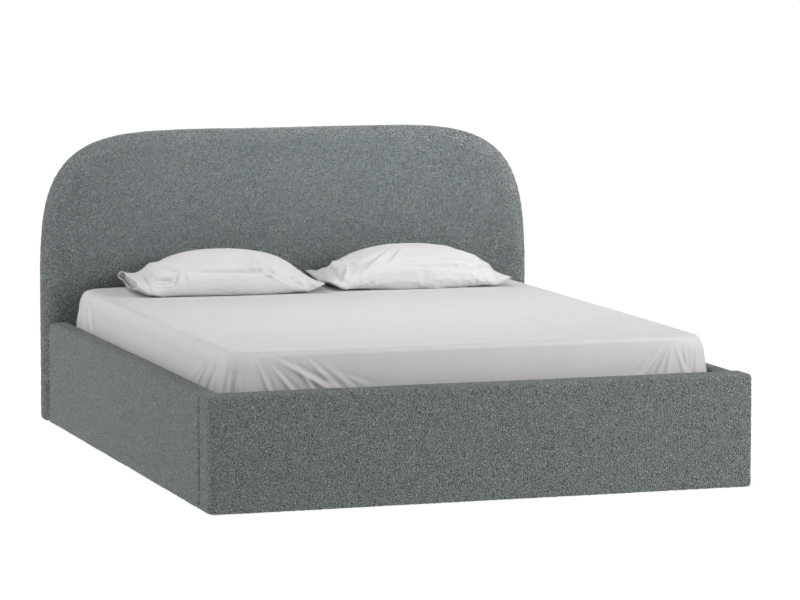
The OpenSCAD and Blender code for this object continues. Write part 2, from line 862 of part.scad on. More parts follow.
// Studs on the rear arms that carry the gas springs' upper ends
module arm_studs() {
    color("silver")
        for (s = ["left", "right"]) on_side(s) {
            cross_pin(gas_stud, rear_arm_x, rear_arm_x + plate_t, pin_r);
            cross_pin(gas_stud, rear_arm_x + plate_t, gas_x + gas_r, stud_r);
        }
}

gas_body_share = 0.62;
eye_ring = 3.5;
eye_r = stud_r + eye_clear + eye_ring;
foot_eye_ring = 5;
foot_eye_r = pin_r + foot_eye_ring;
eye_t = 8;
gas_wall = 2;
piston_t = 10;

// Places the gas spring with its foot at the origin and its length along local Z
module along_gas() {
    translate([gas_x, gas_foot[0], gas_foot[1]]) rotate([gas_turn - 90, 0, 0]) children();
}

module eye(r, bore) {
    rotate([0, 90, 0]) difference() {
        translate([0, 0, -eye_t / 2]) cylinder(h = eye_t, r = r);
        translate([0, 0, -eye_t]) cylinder(h = 2 * eye_t, r = bore);
    }
}

module gas_cylinder(side) {
    wall = gas_wall;
    z0 = foot_eye_r - wall;
    z1 = gas_l * gas_body_share;
    color("dimgray") on_side(side) along_gas() {
        union() {
            eye(foot_eye_r, pin_r + pivot_clear);
            difference() {
                translate([0, 0, z0]) cylinder(h = z1 - z0, r = gas_r);
                translate([0, 0, z0 + wall + wall]) cylinder(h = z1, r = gas_r - wall);
                rotate([0, 90, 0]) translate([0, 0, -over]) cylinder(h = 2 * over, r = pin_r + pivot_clear);
            }
        }
    }
}

module gas_rod(side) {
    wall = gas_wall;
    z0 = foot_eye_r + 3 * wall;
    color("silver") on_side(side) along_gas() {
        union() {
            translate([0, 0, z0]) cylinder(h = piston_t, r = gas_r - wall - pivot_clear);
            translate([0, 0, z0]) cylinder(h = gas_l - z0 - eye_r + eye_ring / 2, r = rod_r);
            translate([0, 0, gas_l]) eye(eye_r, stud_r + eye_clear);
        }
    }
}

module lift_left_rail_plate() { rail_plate("left"); }
module lift_left_rear_arm() { rear_arm("left"); }
module lift_left_front_arm() { front_arm("left"); }
module lift_left_frame_plate() { frame_plate("left"); }
module lift_left_gas_cylinder() { gas_cylinder("left"); }
module lift_left_gas_rod() { gas_rod("left"); }
module lift_right_rail_plate() { rail_plate("right"); }
module lift_right_rear_arm() { rear_arm("right"); }
module lift_right_front_arm() { front_arm("right"); }
module lift_right_frame_plate() { frame_plate("right"); }
module lift_right_gas_cylinder() { gas_cylinder("right"); }
module lift_right_gas_rod() { gas_rod("right"); }

// Screws that hold the rail plates
module lift_screws() {
    head_t = 2.4;
    color("silver")
        for (s = ["left", "right"], p = rail_screw_places())
            on_side(s) {
                cross_pin(p, rail_plate_x, rail_plate_x + plate_t, bolt_r - snug);
                cross_pin(p, rail_plate_x - head_t, rail_plate_x, bolt_head_r);
            }
}

// Mattress and bedding

// A rounded rectangle drawn in by e, with its corners split into n steps
function plan_points(x, y0, y1, r, e, n) =
    let (q = max(r - e, snug), a = x - e, b = y0 + e, c = y1 - e)
    concat(
        arc_points([a - q, b + q], q, -90, 0, n),
        arc_points([a - q, c - q], q, 0, 90, n),
        arc_points([-a + q, c - q], q, 90, 180, n),
        arc_points([-a + q, b + q], q, 180, 270, n));

// A solid that runs up along a path of heights and insets round the mattress
module plan_loft(rings) {
    polyhedron(points = [for (r = rings) each r], faces = loft_faces(len(rings[0]), len(rings)));
}

function edge_path(z0, z1, r, e, n) = concat(
    [for (i = [0:n]) let (a = 90 * i / n) [z0 + r - (r - e) * cos(a), r - (r - e) * sin(a)]],
    [for (i = [0:n]) let (a = 90 * i / n) [z1 - r + (r - e) * sin(a), r - (r - e) * cos(a)]]);

module mattress() {
    path = edge_path(mattress_z, mattress_top, mattress_edge_r, 0, 4);
    color("white")
        plan_loft(reversed([for (s = path)
            [for (p = plan_points(mattress_x, mattress_y0, mattress_y1, mattress_corner_r, s[1], arc_steps))
                [p[0], p[1], s[0]]]]));
}

gather_steps = 3;

// The sheet's outline at a height: gathers stand out of the corners towards the hem
function sheet_ring(z, e, out) =
    let (
        n = gathers * gather_steps,
        low = 1 - (z - mattress_z) / mattress_t,
        pts = plan_points(mattress_x + out, mattress_y0 - out, mattress_y1 + out,
            mattress_corner_r + out, e, n)
    )
    [for (i = [0:len(pts) - 1])
        let (
            k = i % (n + 1),
            wave = (1 - cos(360 * k / gather_steps)) / 2 * sin(180 * k / n),
            corner = floor(i / (n + 1)),
            turn = -90 + 90 * corner + 90 * k / n,
            depth = gather_depth * wave * max(low, 0)
        )
        [pts[i][0] + depth * cos(turn), pts[i][1] + depth * sin(turn), z]];

module fitted_sheet() {
    hem_z = mattress_z + fit;
    r = mattress_edge_r;
    n = 4;
    levels = [0, 0.3, 0.65];
    side = [for (s = levels) hem_z + (mattress_top - r - hem_z) * s];
    top = [for (i = [0:n]) let (a = 90 * i / n) [sin(a), 1 - cos(a)]];
    outer = concat(
        [for (z = side) sheet_ring(z, 0, fit + sheet_t)],
        [for (s = top) sheet_ring(mattress_top - r + (r + fit + sheet_t) * s[0], r * s[1], fit + sheet_t)]);
    inner = concat(
        [for (z = side) sheet_ring(z, 0, fit)],
        [for (s = top) sheet_ring(mattress_top - r + (r + fit) * s[0], r * s[1], fit)]);
    color("whitesmoke") plan_loft(concat(reversed(outer), inner));
}

// Pillows

pillow_rim_share = 0.3;
pillow_base_share = 0.8;

// A point of the pillow's seam for a turn round it: square corners, sides drawn in
function pillow_rim(t) =
    let (
        c = cos(t),
        s = sin(t),
        k = max(abs(c), abs(s)),
        u = c / k,
        v = s / k,
        soft = 1 - 0.1 * pow(min(abs(u), abs(v)), 6)
    )
    [soft * u * (pillow_w / 2 - pillow_draw * (1 - v * v)),
        soft * v * (pillow_d / 2 - pillow_draw * (1 - u * u))];

module pillow() {
    n = 48;
    rim_z = pillow_h * pillow_rim_share;
    lower = [for (s = [0, 0.35, 0.7, 1])
        [pillow_base_share + (1 - pillow_base_share) * sin(90 * s), rim_z * (1 - cos(90 * s))]];
    upper = [for (i = [1:9])
        let (s = cos(90 * i / 9.4))
        [s, rim_z + (pillow_h - rim_z) * pow(1 - pow(s, 2.4), 0.62)]];
    rings = [for (l = concat(lower, upper))
        [for (i = [0:n - 1])
            let (
                p = pillow_rim(360 * i / n),
                far = pow(abs(p[0] * p[1]) / (pillow_w * pillow_d / 4), 2),
                sag = 1 - 0.45 * far * pow(l[0], 3)
            )
            [l[0] * p[0], l[0] * p[1], l[1] * sag]]];
    polyhedron(points = [for (r = reversed(rings)) each r], faces = loft_faces(n, len(rings)));
}

module place_pillow(x) {
    color("white") translate([x, head_in - pillow_back, sheet_top + fit])
        rotate([0, 0, -pillow_turn]) pillow();
}

module pillow_left() { place_pillow(pillow_gap_x - (pillow_w + pillow_gap) / 2); }
module pillow_right() { place_pillow(pillow_gap_x + (pillow_w + pillow_gap) / 2); }

headboard_frame();
headboard_board();
headboard_foam();
headboard_cover();
headboard_back_lining();
side_rail_left_board();
side_rail_left_foam();
side_rail_left_cover();
side_rail_right_board();
side_rail_right_foam();
side_rail_right_cover();
footboard_front_board();
footboard_battens();
footboard_back_board();
footboard_foam();
footboard_cover();
corner_brackets();
bracket_bolts();
floor_glides();
floor_cleats();
centre_joist();
storage_floor_left();
storage_floor_right();
side_ledge_left();
side_ledge_right();
foot_ledge();
ledge_pads();
frame_tube_left();
frame_tube_right();
frame_tube_head();
frame_tube_foot();
frame_tube_centre();
frame_tube_cross();
slats_left();
slats_right();
slat_holders_left();
slat_holders_centre();
slat_holders_right();
mattress_stops();
pull_strap();
lift_left_rail_plate();
lift_left_rear_arm();
lift_left_front_arm();
lift_left_frame_plate();
lift_left_gas_cylinder();
lift_left_gas_rod();
lift_right_rail_plate();
lift_right_rear_arm();
lift_right_front_arm();
lift_right_frame_plate();
lift_right_gas_cylinder();
lift_right_gas_rod();
rail_plate_pins();
frame_plate_pins();
arm_studs();
lift_screws();
mattress();
fitted_sheet();
pillow_left();
pillow_right();
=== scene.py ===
"""Dresses an upholstered storage bed: padded panels, mattress, fitted sheet and pillows.

Every length is in metres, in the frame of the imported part: X runs across the bed,
Y from the foot to the head, and Z up from the floor.
"""

import json
import logging
import math
from dataclasses import dataclass, field
from enum import Enum
from functools import partial
from typing import Callable, Optional, Sequence

import bmesh
import bpy
import numpy as np
from mathutils import Euler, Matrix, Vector

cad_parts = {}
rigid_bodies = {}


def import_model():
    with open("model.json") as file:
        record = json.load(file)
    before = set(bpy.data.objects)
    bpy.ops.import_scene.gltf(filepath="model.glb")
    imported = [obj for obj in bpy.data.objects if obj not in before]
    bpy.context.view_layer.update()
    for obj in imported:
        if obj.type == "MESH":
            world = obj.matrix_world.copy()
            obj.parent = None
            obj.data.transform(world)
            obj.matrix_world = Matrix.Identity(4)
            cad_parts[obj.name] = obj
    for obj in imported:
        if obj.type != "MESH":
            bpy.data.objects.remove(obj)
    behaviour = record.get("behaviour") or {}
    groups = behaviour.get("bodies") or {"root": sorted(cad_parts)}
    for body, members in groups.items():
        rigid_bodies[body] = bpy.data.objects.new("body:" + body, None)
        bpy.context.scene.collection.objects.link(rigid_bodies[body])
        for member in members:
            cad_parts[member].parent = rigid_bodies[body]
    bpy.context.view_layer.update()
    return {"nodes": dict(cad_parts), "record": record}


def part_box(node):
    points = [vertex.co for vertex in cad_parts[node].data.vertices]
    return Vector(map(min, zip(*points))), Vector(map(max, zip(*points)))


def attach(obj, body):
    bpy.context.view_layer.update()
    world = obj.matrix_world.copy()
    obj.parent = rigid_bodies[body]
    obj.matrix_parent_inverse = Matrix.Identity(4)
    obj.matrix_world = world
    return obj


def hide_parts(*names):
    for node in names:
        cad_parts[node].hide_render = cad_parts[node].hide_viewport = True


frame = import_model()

logging.basicConfig(level=logging.INFO, format="%(message)s")
log = logging.getLogger("bed")

MM = 0.001
SEAT = 0.4 * MM  # how far a soft piece lies above what carries it
RIGID_ANGLE = math.radians(50)  # edges sharper than this show as edges on a panel
CLOTH_ANGLE = math.radians(80)  # and than this on loose cloth

Points = np.ndarray
Tree = bpy.types.NodeTree
Socket = bpy.types.NodeSocket
Pattern = tuple[Socket, Socket]
AddNode = Callable[..., Socket]
Links = dict[str, Socket]


class Axis(Enum):
    """A direction of the frame, by its place in a vector."""

    X = 0
    Y = 1
    Z = 2


class Side(Enum):
    """A side of the bed, as seen from its foot."""

    LEFT = -1
    RIGHT = 1

    @property
    def word(self) -> str:
        """The side's name in the part's node names."""
        return self.name.lower()


# Nodes of a material


def linear(colour: str) -> tuple[float, float, float, float]:
    """Turns an sRGB hex colour into Blender's linear one.

    Args:
        colour: the colour, such as "#6f7778".

    Returns:
        Red, green, blue and an alpha of one.
    """
    parts = [int(colour[i : i + 2], 16) / 255 for i in (1, 3, 5)]
    red, green, blue = (
        p / 12.92 if p <= 0.04045 else ((p + 0.055) / 1.055) ** 2.4 for p in parts
    )
    return red, green, blue, 1.0


def find_socket(sockets: bpy.types.bpy_prop_collection, key: str) -> Socket:
    """Finds a socket by its identifier, or else by its name."""
    return next((s for s in sockets if s.identifier == key), None) or sockets[key]


def add_node(
    tree: Tree,
    kind: str,
    output: str,
    settings: Optional[dict[str, object]] = None,
    links: Optional[Links] = None,
) -> Socket:
    """Adds a node with its settings and its incoming links.

    Args:
        tree: the material's node tree.
        kind: Blender's name for the node's type, after its "ShaderNode".
        output: the output to give.
        settings: values of the node's properties or of its inputs.
        links: the output that feeds each named input.

    Returns:
        The new node's output.
    """
    node = tree.nodes.new(f"ShaderNode{kind}")
    for key, value in (settings or {}).items():
        if hasattr(node, key):
            setattr(node, key, value)
        else:
            find_socket(node.inputs, key).default_value = value
    for key, source in (links or {}).items():
        tree.links.new(source, find_socket(node.inputs, key))
    return find_socket(node.outputs, output)


@dataclass(frozen=True)
class Finish:
    """A finish: its name, the values that its shader has all over, and a pattern."""

    name: str
    colour: str
    roughness: float
    shader: tuple[tuple[str, object], ...] = ()

    def pattern(self, add: AddNode, place: Socket) -> Pattern:
        """Gives the outputs of the finish's colour and its normal, from the Object coordinates."""
        raise NotImplementedError

    def build(self) -> bpy.types.Material:
        """Makes the material once, and gives the same one after that.

        Returns:
            The material.
        """
        made = bpy.data.materials.get(self.name)
        if made:
            return made
        material = bpy.data.materials.new(self.name)
        material.use_nodes = True
        tree = material.node_tree
        shader = tree.nodes["Principled BSDF"]
        shader.inputs["Base Color"].default_value = linear(self.colour)
        shader.inputs["Roughness"].default_value = self.roughness
        for key, value in self.shader:
            shader.inputs[key].default_value = value
        add = partial(add_node, tree)
        colour, normal = self.pattern(add, add("TexCoord", "Object"))
        tree.links.new(colour, shader.inputs["Base Color"])
        tree.links.new(normal, shader.inputs["Normal"])
        return material


# Finishes


@dataclass(frozen=True)
class Boucle(Finish):
    """Polyester boucle: small curls of yarn that stand on a knitted ground."""

    # Painted shade: the colour put into the gaps between the curls
    crevice: str = "#555d5d"
    curl: str = "#8d9595"
    # Painted glint: the pale colour of a fleck on a few curls
    fleck: str = "#bcc2c2"
    curl_size: float = 4.9 * MM
    curl_depth: float = 13.0 * MM
    bend: float = 1.2
    knot_size: float = 14.0 * MM
    knot_depth: float = 3.0 * MM

    def pattern(self, add: AddNode, place: Socket) -> Pattern:
        """Curls of yarn as bent cells, and looser knots of it among them.

        The curls are drawn coarser than the real 3 mm, so that they show from a few metres.

        Args:
            add: add_node() with the material's tree.
            place: the Object coordinates.

        Returns:
            The colour's output and the normal's.
        """
        bend = self.bend * self.curl_size
        noise = add(
            "TexNoise", "Color", {"Scale": 1 / bend, "Detail": 2.0, "Roughness": 0.6}, {"Vector": place}
        )
        bent = add(
            "VectorMath",
            "Vector",
            {"operation": "MULTIPLY_ADD", "Vector_001": (bend,) * 3},
            {"Vector": noise, "Vector_002": place},
        )
        cells = add(
            "TexVoronoi",
            "Distance",
            {"Scale": 1 / self.curl_size, "Randomness": 1.0, "feature": "SMOOTH_F1", "Smoothness": 0.3},
            {"Vector": bent},
        )
        tone = add("SeparateColor", "Red", links={"Color": cells.node.outputs["Color"]})
        # From 0 between two curls to 1 on top of one
        height = add("MapRange", "Result", {"From Min": 0.7, "From Max": 0.05}, {"Value": cells})
        curl = add(
            "Mix",
            "Result_Color",
            {"data_type": "RGBA", "A_Color": linear(self.colour), "B_Color": linear(self.curl)},
            {"Factor_Float": tone},
        )
        # One curl in twelve carries a pale fleck, a painted glint
        lit = add(
            "MapRange",
            "Result",
            {"From Min": 0.92, "From Max": 1.0},
            {"Value": tone.node.outputs["Green"]},
        )
        glinted = add(
            "Mix",
            "Result_Color",
            {"data_type": "RGBA", "B_Color": linear(self.fleck)},
            {"Factor_Float": lit, "A_Color": curl},
        )
        # Painted shade: the ground between the curls is darkened where the height is under a third
        shade_share = add("MapRange", "Result", {"From Min": 0.0, "From Max": 0.3}, {"Value": height})
        colour = add(
            "Mix",
            "Result_Color",
            {"data_type": "RGBA", "A_Color": linear(self.crevice)},
            {"Factor_Float": shade_share, "B_Color": glinted},
        )
        knots = add("TexNoise", "Fac", {"Scale": 1 / self.knot_size, "Detail": 1.0}, {"Vector": place})
        knot_height = add("MapRange", "Result", {"From Min": 0.45, "From Max": 0.75}, {"Value": knots})
        loose = add(
            "Bump", "Normal", {"Strength": 1.0, "Distance": self.knot_depth}, {"Height": knot_height}
        )
        normal = add(
            "Bump",
            "Normal",
            {"Strength": 1.0, "Distance": self.curl_depth},
            {"Height": height, "Normal": loose},
        )
        return colour, normal


@dataclass(frozen=True)
class WovenCloth(Finish):
    """Woven or knitted cloth: threads that cross, and a soft mottle."""

    shade: str = "#dedddb"
    thread: float = 1.2 * MM
    thread_depth: float = 0.05 * MM
    mottle: float = 90 * MM

    def pattern(self, add: AddNode, place: Socket) -> Pattern:
        """Crossed threads, drawn coarser than the real 0.25 mm so that they show close by.

        Args:
            add: add_node() with the material's tree.
            place: the Object coordinates.

        Returns:
            The colour's output and the normal's.
        """
        threads = [
            add(
                "TexWave",
                "Fac",
                {
                    "bands_direction": direction,
                    "Scale": 1 / (2 * math.pi * self.thread),
                    "Distortion": 0.4,
                },
                {"Vector": place},
            )
            for direction in ("X", "Y")
        ]
        weave = add(
            "Math", "Value", {"operation": "MULTIPLY"}, {"Value": threads[0], "Value_001": threads[1]}
        )
        normal = add(
            "Bump", "Normal", {"Strength": 0.4, "Distance": self.thread_depth}, {"Height": weave}
        )
        mottle = add("TexNoise", "Fac", {"Scale": 1 / self.mottle, "Detail": 3.0}, {"Vector": place})
        share = add("MapRange", "Result", {"From Min": 0.35, "From Max": 0.65}, {"Value": mottle})
        colour = add(
            "Mix",
            "Result_Color",
            {"data_type": "RGBA", "A_Color": linear(self.colour), "B_Color": linear(self.shade)},
            {"Factor_Float": share},
        )
        return colour, normal


@dataclass(frozen=True)
class SawnWood(Finish):
    """Sawn or planed wood: grain lines along the board, in an early and a late colour."""

    late: str = "#b98f5c"
    along: Axis = Axis.X
    ring: float = 9 * MM
    ring_stretch: float = 14.0
    fibre: float = 0.8 * MM
    fibre_stretch: float = 30.0
    fibre_depth: float = 0.08 * MM

    def pattern(self, add: AddNode, place: Socket) -> Pattern:
        """Growth rings stretched along the board, with short fibres over them.

        Args:
            add: add_node() with the material's tree.
            place: the Object coordinates.

        Returns:
            The colour's output and the normal's.
        """
        drawn = []
        for size, stretch, look in (
            (self.ring, self.ring_stretch, {"Detail": 4.0, "Distortion": 0.8}),
            (self.fibre, self.fibre_stretch, {"Detail": 2.0}),
        ):
            scale = [1 / size] * 3
            scale[self.along.value] /= stretch
            lengthwise = add("Mapping", "Vector", {"Scale": tuple(scale)}, {"Vector": place})
            drawn.append(add("TexNoise", "Fac", {"Scale": 1.0, **look}, {"Vector": lengthwise}))
        rings, fibres = drawn
        share = add("MapRange", "Result", {"From Min": 0.42, "From Max": 0.6}, {"Value": rings})
        colour = add(
            "Mix",
            "Result_Color",
            {"data_type": "RGBA", "A_Color": linear(self.colour), "B_Color": linear(self.late)},
            {"Factor_Float": share},
        )
        normal = add(
            "Bump", "Normal", {"Strength": 0.5, "Distance": self.fibre_depth}, {"Height": fibres}
        )
        return colour, normal


@dataclass(frozen=True)
class PressedBoard(Finish):
    """Pressed wood: chips or fibres of several tones, glued flat."""

    chip: str = "#a98a5e"
    chip_size: float = 5 * MM
    chip_edge: float = 0.1 * MM

    def pattern(self, add: AddNode, place: Socket) -> Pattern:
        """Cells as chips, each with its own tone and a slight edge.

        Args:
            add: add_node() with the material's tree.
            place: the Object coordinates.

        Returns:
            The colour's output and the normal's.
        """
        cells = add("TexVoronoi", "Distance", {"Scale": 1 / self.chip_size}, {"Vector": place})
        tone = add("SeparateColor", "Green", links={"Color": cells.node.outputs["Color"]})
        colour = add(
            "Mix",
            "Result_Color",
            {"data_type": "RGBA", "A_Color": linear(self.colour), "B_Color": linear(self.chip)},
            {"Factor_Float": tone},
        )
        normal = add("Bump", "Normal", {"Strength": 0.5, "Distance": self.chip_edge}, {"Height": cells})
        return colour, normal


@dataclass(frozen=True)
class GrainedSurface(Finish):
    """A painted, plated or moulded surface with a fine grain and a faint mottle."""

    mottled: str = "#000000"
    grain: float = 1.5 * MM
    grain_depth: float = 0.03 * MM
    mottle: float = 25 * MM

    def pattern(self, add: AddNode, place: Socket) -> Pattern:
        """Fine noise as relief, and a slow change of colour over it.

        The grain is drawn coarser than the real one of a tenth or two, so that it shows.

        Args:
            add: add_node() with the material's tree.
            place: the Object coordinates.

        Returns:
            The colour's output and the normal's.
        """
        grain, mottle = (
            add("TexNoise", "Fac", {"Scale": 1 / size, "Detail": 2.0}, {"Vector": place})
            for size in (self.grain, self.mottle)
        )
        share = add("MapRange", "Result", {"From Min": 0.35, "From Max": 0.65}, {"Value": mottle})
        colour = add(
            "Mix",
            "Result_Color",
            {"data_type": "RGBA", "A_Color": linear(self.colour), "B_Color": linear(self.mottled)},
            {"Factor_Float": share},
        )
        normal = add("Bump", "Normal", {"Strength": 0.6, "Distance": self.grain_depth}, {"Height": grain})
        return colour, normal


METAL = (("Metallic", 1.0),)
CLOTH_SHEEN = (("Sheen Weight", 0.15), ("Sheen Roughness", 0.5), ("Specular IOR Level", 0.3))

# Curled polyester yarn: quite matt, mottled grey-green curls with painted shade in the gaps between them,
# a pale fleck painted as a glint here and there, and a bright line where the cover turns away from the
# eye.
BOUCLE = Boucle(
    "boucle_polyester",
    "#798181",
    0.95,
    (("Sheen Weight", 0.34), ("Sheen Roughness", 0.25), ("Specular IOR Level", 0.2)),
)
# Percale of combed cotton, ironed: an even, soft white with hardly any thread to be seen.
SHEET_COTTON = WovenCloth("percale_cotton_sheet", "#b7b6b4", 0.85, CLOTH_SHEEN, shade="#b4b3b1")
# The same cloth a little smoother and brighter, stretched over a filling.
PILLOW_COTTON = WovenCloth("percale_cotton_pillowcase", "#c1c0c0", 0.82, CLOTH_SHEEN, shade="#bebdbd")
# Knitted mattress cover: warm white, with a thread thick enough to see.
TICKING = WovenCloth(
    "knitted_ticking", "#ecebe6", 0.9, CLOTH_SHEEN, shade="#dedcd4", thread=2 * MM, thread_depth=0.2 * MM
)
# Thin cloth of bonded fibres: flat black, a little cloudy.
LINING = GrainedSurface(
    "spunbonded_lining", "#2c2e30", 0.95, (("Specular IOR Level", 0.2),), mottled="#3a3c3e", grain=1 * MM
)
# Felted wool: dead matt dark grey with a fuzzy rim.
FELT = GrainedSurface("pressed_felt", "#4b4b4a", 1.0, (("Sheen Weight", 0.3),), mottled="#5a5a58")
# Flat polyester band: near black, with plain ribs.
WEBBING = WovenCloth(
    "polyester_webbing",
    "#26282a",
    0.8,
    CLOTH_SHEEN,
    shade="#303234",
    thread=1.6 * MM,
    thread_depth=0.3 * MM,
)
# Glued chips, cut and left raw: straw and brown specks, matt.
CHIPBOARD = PressedBoard("raw_chipboard", "#c9a878", 0.85, chip="#9c7c50")
# Fibre pressed hard and smooth: an even brown with a dull shine.
HARDBOARD = PressedBoard("pressed_hardboard", "#7d5c3c", 0.6, chip="#6b4c30", chip_size=2 * MM)
# Beech laid up in layers and lacquered: pale pinkish wood with short flecks and a soft gloss.
BEECH = SawnWood("laminated_beech", "#d9b382", 0.45, late="#c3935f", fibre=1.2 * MM)
# Steel tube, powder coated: even light grey with a fine orange peel.
FRAME_PAINT = GrainedSurface("powder_coated_steel", "#8c9092", 0.45, mottled="#868a8c")
# The same coat in black on the pressed arms and plates: half matt.
MECHANISM_PAINT = GrainedSurface("black_powder_coat", "#232527", 0.5, mottled="#2a2c2e")
# Enamel on a drawn steel cylinder: deep black with clear reflections.
CYLINDER_PAINT = GrainedSurface(
    "black_enamel", "#141517", 0.22, (("Coat Weight", 0.4),), mottled="#17181a", grain_depth=0.01 * MM
)
# Polypropylene from a spark-eroded mould: dark, with a fine even texture.
PLASTIC = GrainedSurface("moulded_polypropylene", "#1c1d1e", 0.5, mottled="#212223", grain=0.8 * MM)
# Ground steel rod, hard chromed: mirror bright.
CHROME = GrainedSurface("hard_chrome", "#d8dadc", 0.12, METAL, mottled="#ced0d2", grain_depth=0.005 * MM)
# Electroplated zinc on bolts and pins: pale, slightly blotched metal with a blurred shine.
ZINC = GrainedSurface("zinc_plating", "#b9bcbe", 0.35, METAL, mottled="#a3a7aa", mottle=12 * MM)


def pine(along: Axis) -> SawnWood:
    """Planed pine: warm yellow wood, whose darker rings run along the given axis."""
    return SawnWood(f"planed_pine_{along.name.lower()}", "#e2c391", 0.6, late="#c79a5f", along=along)


EVEN_FINISHES: dict[str, Finish] = {
    "boucle_fabric": BOUCLE,
    "lining_cloth": LINING,
    "foam": TICKING,
    "chipboard": CHIPBOARD,
    "hardboard": HARDBOARD,
    "beech_slats": BEECH,
    "black_plastic": PLASTIC,
    "felt": FELT,
    "frame_paint": FRAME_PAINT,
    "mechanism_paint": MECHANISM_PAINT,
    "webbing": WEBBING,
    "gas_cylinder_paint": CYLINDER_PAINT,
    "chrome_rod": CHROME,
    "zinc": ZINC,
    "mattress_ticking": TICKING,
    "sheet_cotton": SHEET_COTTON,
    "pillow_cotton": PILLOW_COTTON,
}
BOARD_FINISHES: dict[str, Callable[[Axis], Finish]] = {"pine": pine}


def finish_cad_nodes() -> None:
    """Gives each node of the part the finish of its material slot."""
    for part in frame["record"]["subparts"]:
        node = frame["nodes"][part["node"]]
        slot_name = part["material_slot"]
        if slot_name in BOARD_FINISHES:
            low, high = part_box(part["node"])
            longest = Axis(int(np.argmax(np.array(high - low))))
            material = BOARD_FINISHES[slot_name](longest).build()
        else:
            material = EVEN_FINISHES[slot_name].build()
        if not node.material_slots:
            node.data.materials.append(material)
        for slot in node.material_slots:
            slot.material = material
        log.info("%s: %s", part["node"], material.name)


# Pieces


def deselect_all() -> None:
    """Leaves nothing selected."""
    for each in bpy.context.view_layer.objects.selected[:]:
        each.select_set(False)


def select_only(piece: bpy.types.Object) -> None:
    """Selects one piece and makes it active.

    Args:
        piece: the piece to select.
    """
    deselect_all()
    piece.select_set(True)
    bpy.context.view_layer.objects.active = piece


def apply_modifier(piece: bpy.types.Object, kind: str, **settings: object) -> None:
    """Adds a modifier to a piece and applies it.

    Args:
        piece: the piece to change.
        kind: Blender's name for the modifier's type.
        settings: values of the modifier's properties.
    """
    modifier = piece.modifiers.new(kind.title(), kind)
    for key, value in settings.items():
        setattr(modifier, key, value)
    select_only(piece)
    bpy.ops.object.modifier_apply(modifier=modifier.name)


def new_piece(name: str, points: Points, faces: Sequence[Sequence[int]]) -> bpy.types.Object:
    """Makes a mesh piece from its points and faces.

    Args:
        name: the piece's name.
        points: one row of X, Y and Z for each point.
        faces: the places of each face's points.

    Returns:
        The new object.
    """
    mesh = bpy.data.meshes.new(name)
    mesh.from_pydata(np.asarray(points, float).tolist(), [], [tuple(map(int, f)) for f in faces])
    mesh.update()
    piece = bpy.data.objects.new(name, mesh)
    bpy.context.scene.collection.objects.link(piece)
    return piece


def point_outwards(piece: bpy.types.Object) -> None:
    """Turns the faces of a piece outwards, in edit mode.

    Args:
        piece: the piece to turn.
    """
    select_only(piece)
    bpy.ops.object.mode_set(mode="EDIT")
    bpy.ops.mesh.select_all(action="SELECT")
    bpy.ops.mesh.normals_make_consistent(inside=False)
    bpy.ops.object.mode_set(mode="OBJECT")


def smooth(piece: bpy.types.Object, angle: float = RIGID_ANGLE) -> None:
    """Shades a piece smooth, apart from its edges sharper than an angle."""
    select_only(piece)
    bpy.ops.object.shade_smooth_by_angle(angle=angle)


def dress(
    piece: bpy.types.Object, finish: Finish, body: str, replaced: Sequence[str] = ()
) -> bpy.types.Object:
    """Finishes a piece, hangs it on the body that it rides on, and hides the part's nodes that it stands
    for.

    Args:
        piece: the piece.
        finish: its finish.
        body: the body that it rides on.
        replaced: the part's nodes that it stands for.

    Returns:
        The piece.
    """
    piece.data.materials.clear()
    piece.data.materials.append(finish.build())
    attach(piece, body)
    if replaced:
        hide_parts(*replaced)
    return piece


def coordinates(piece: bpy.types.Object) -> Points:
    """Reads the piece's points.

    Args:
        piece: the piece.

    Returns:
        Its points, one row each.
    """
    flat = np.empty(len(piece.data.vertices) * 3)
    piece.data.vertices.foreach_get("co", flat)
    return flat.reshape(-1, 3)


def set_coordinates(piece: bpy.types.Object, points: Points) -> None:
    """Moves the piece's points to new places."""
    piece.data.vertices.foreach_set("co", np.asarray(points, float).ravel())
    piece.data.update()


def relief(name: str, size: float) -> bpy.types.Texture:
    """Makes the texture of a displacement.

    Args:
        name: the texture's name.
        size: the size of its swellings.

    Returns:
        The texture.
    """
    texture = bpy.data.textures.new(name, "CLOUDS")
    texture.noise_scale = size
    texture.noise_depth = 0
    return texture


def swell(piece: bpy.types.Object, texture: bpy.types.Texture, height: float) -> None:
    """Swells a piece by a texture, half of the height outwards and half inwards.

    Args:
        piece: the piece.
        texture: where it swells.
        height: from the lowest place to the highest.
    """
    apply_modifier(
        piece, "DISPLACE", texture=texture, texture_coords="LOCAL", strength=height, mid_level=0.5
    )


def loft(rings: Sequence[Points]) -> tuple[Points, list[list[int]]]:
    """Joins rings of as many points each into a closed solid with flat ends.

    Args:
        rings: the rings, from one end to the other.

    Returns:
        The points and the faces.
    """
    count = len(rings[0])
    last = (len(rings) - 1) * count
    faces = [
        [j + i, j + (i + 1) % count, j + count + (i + 1) % count, j + count + i]
        for j in range(0, last, count)
        for i in range(count)
    ]
    faces.append(list(range(count))[::-1])
    faces.append([last + i for i in range(count)])
    return np.concatenate(rings), faces


# A panel: fabric over foam, closed round its boards


@dataclass(frozen=True)
class Rounding:
    """A rounded edge of a block: where its middle lies, by signs, and its radius."""

    signs: tuple[int, int, int]
    radius: float


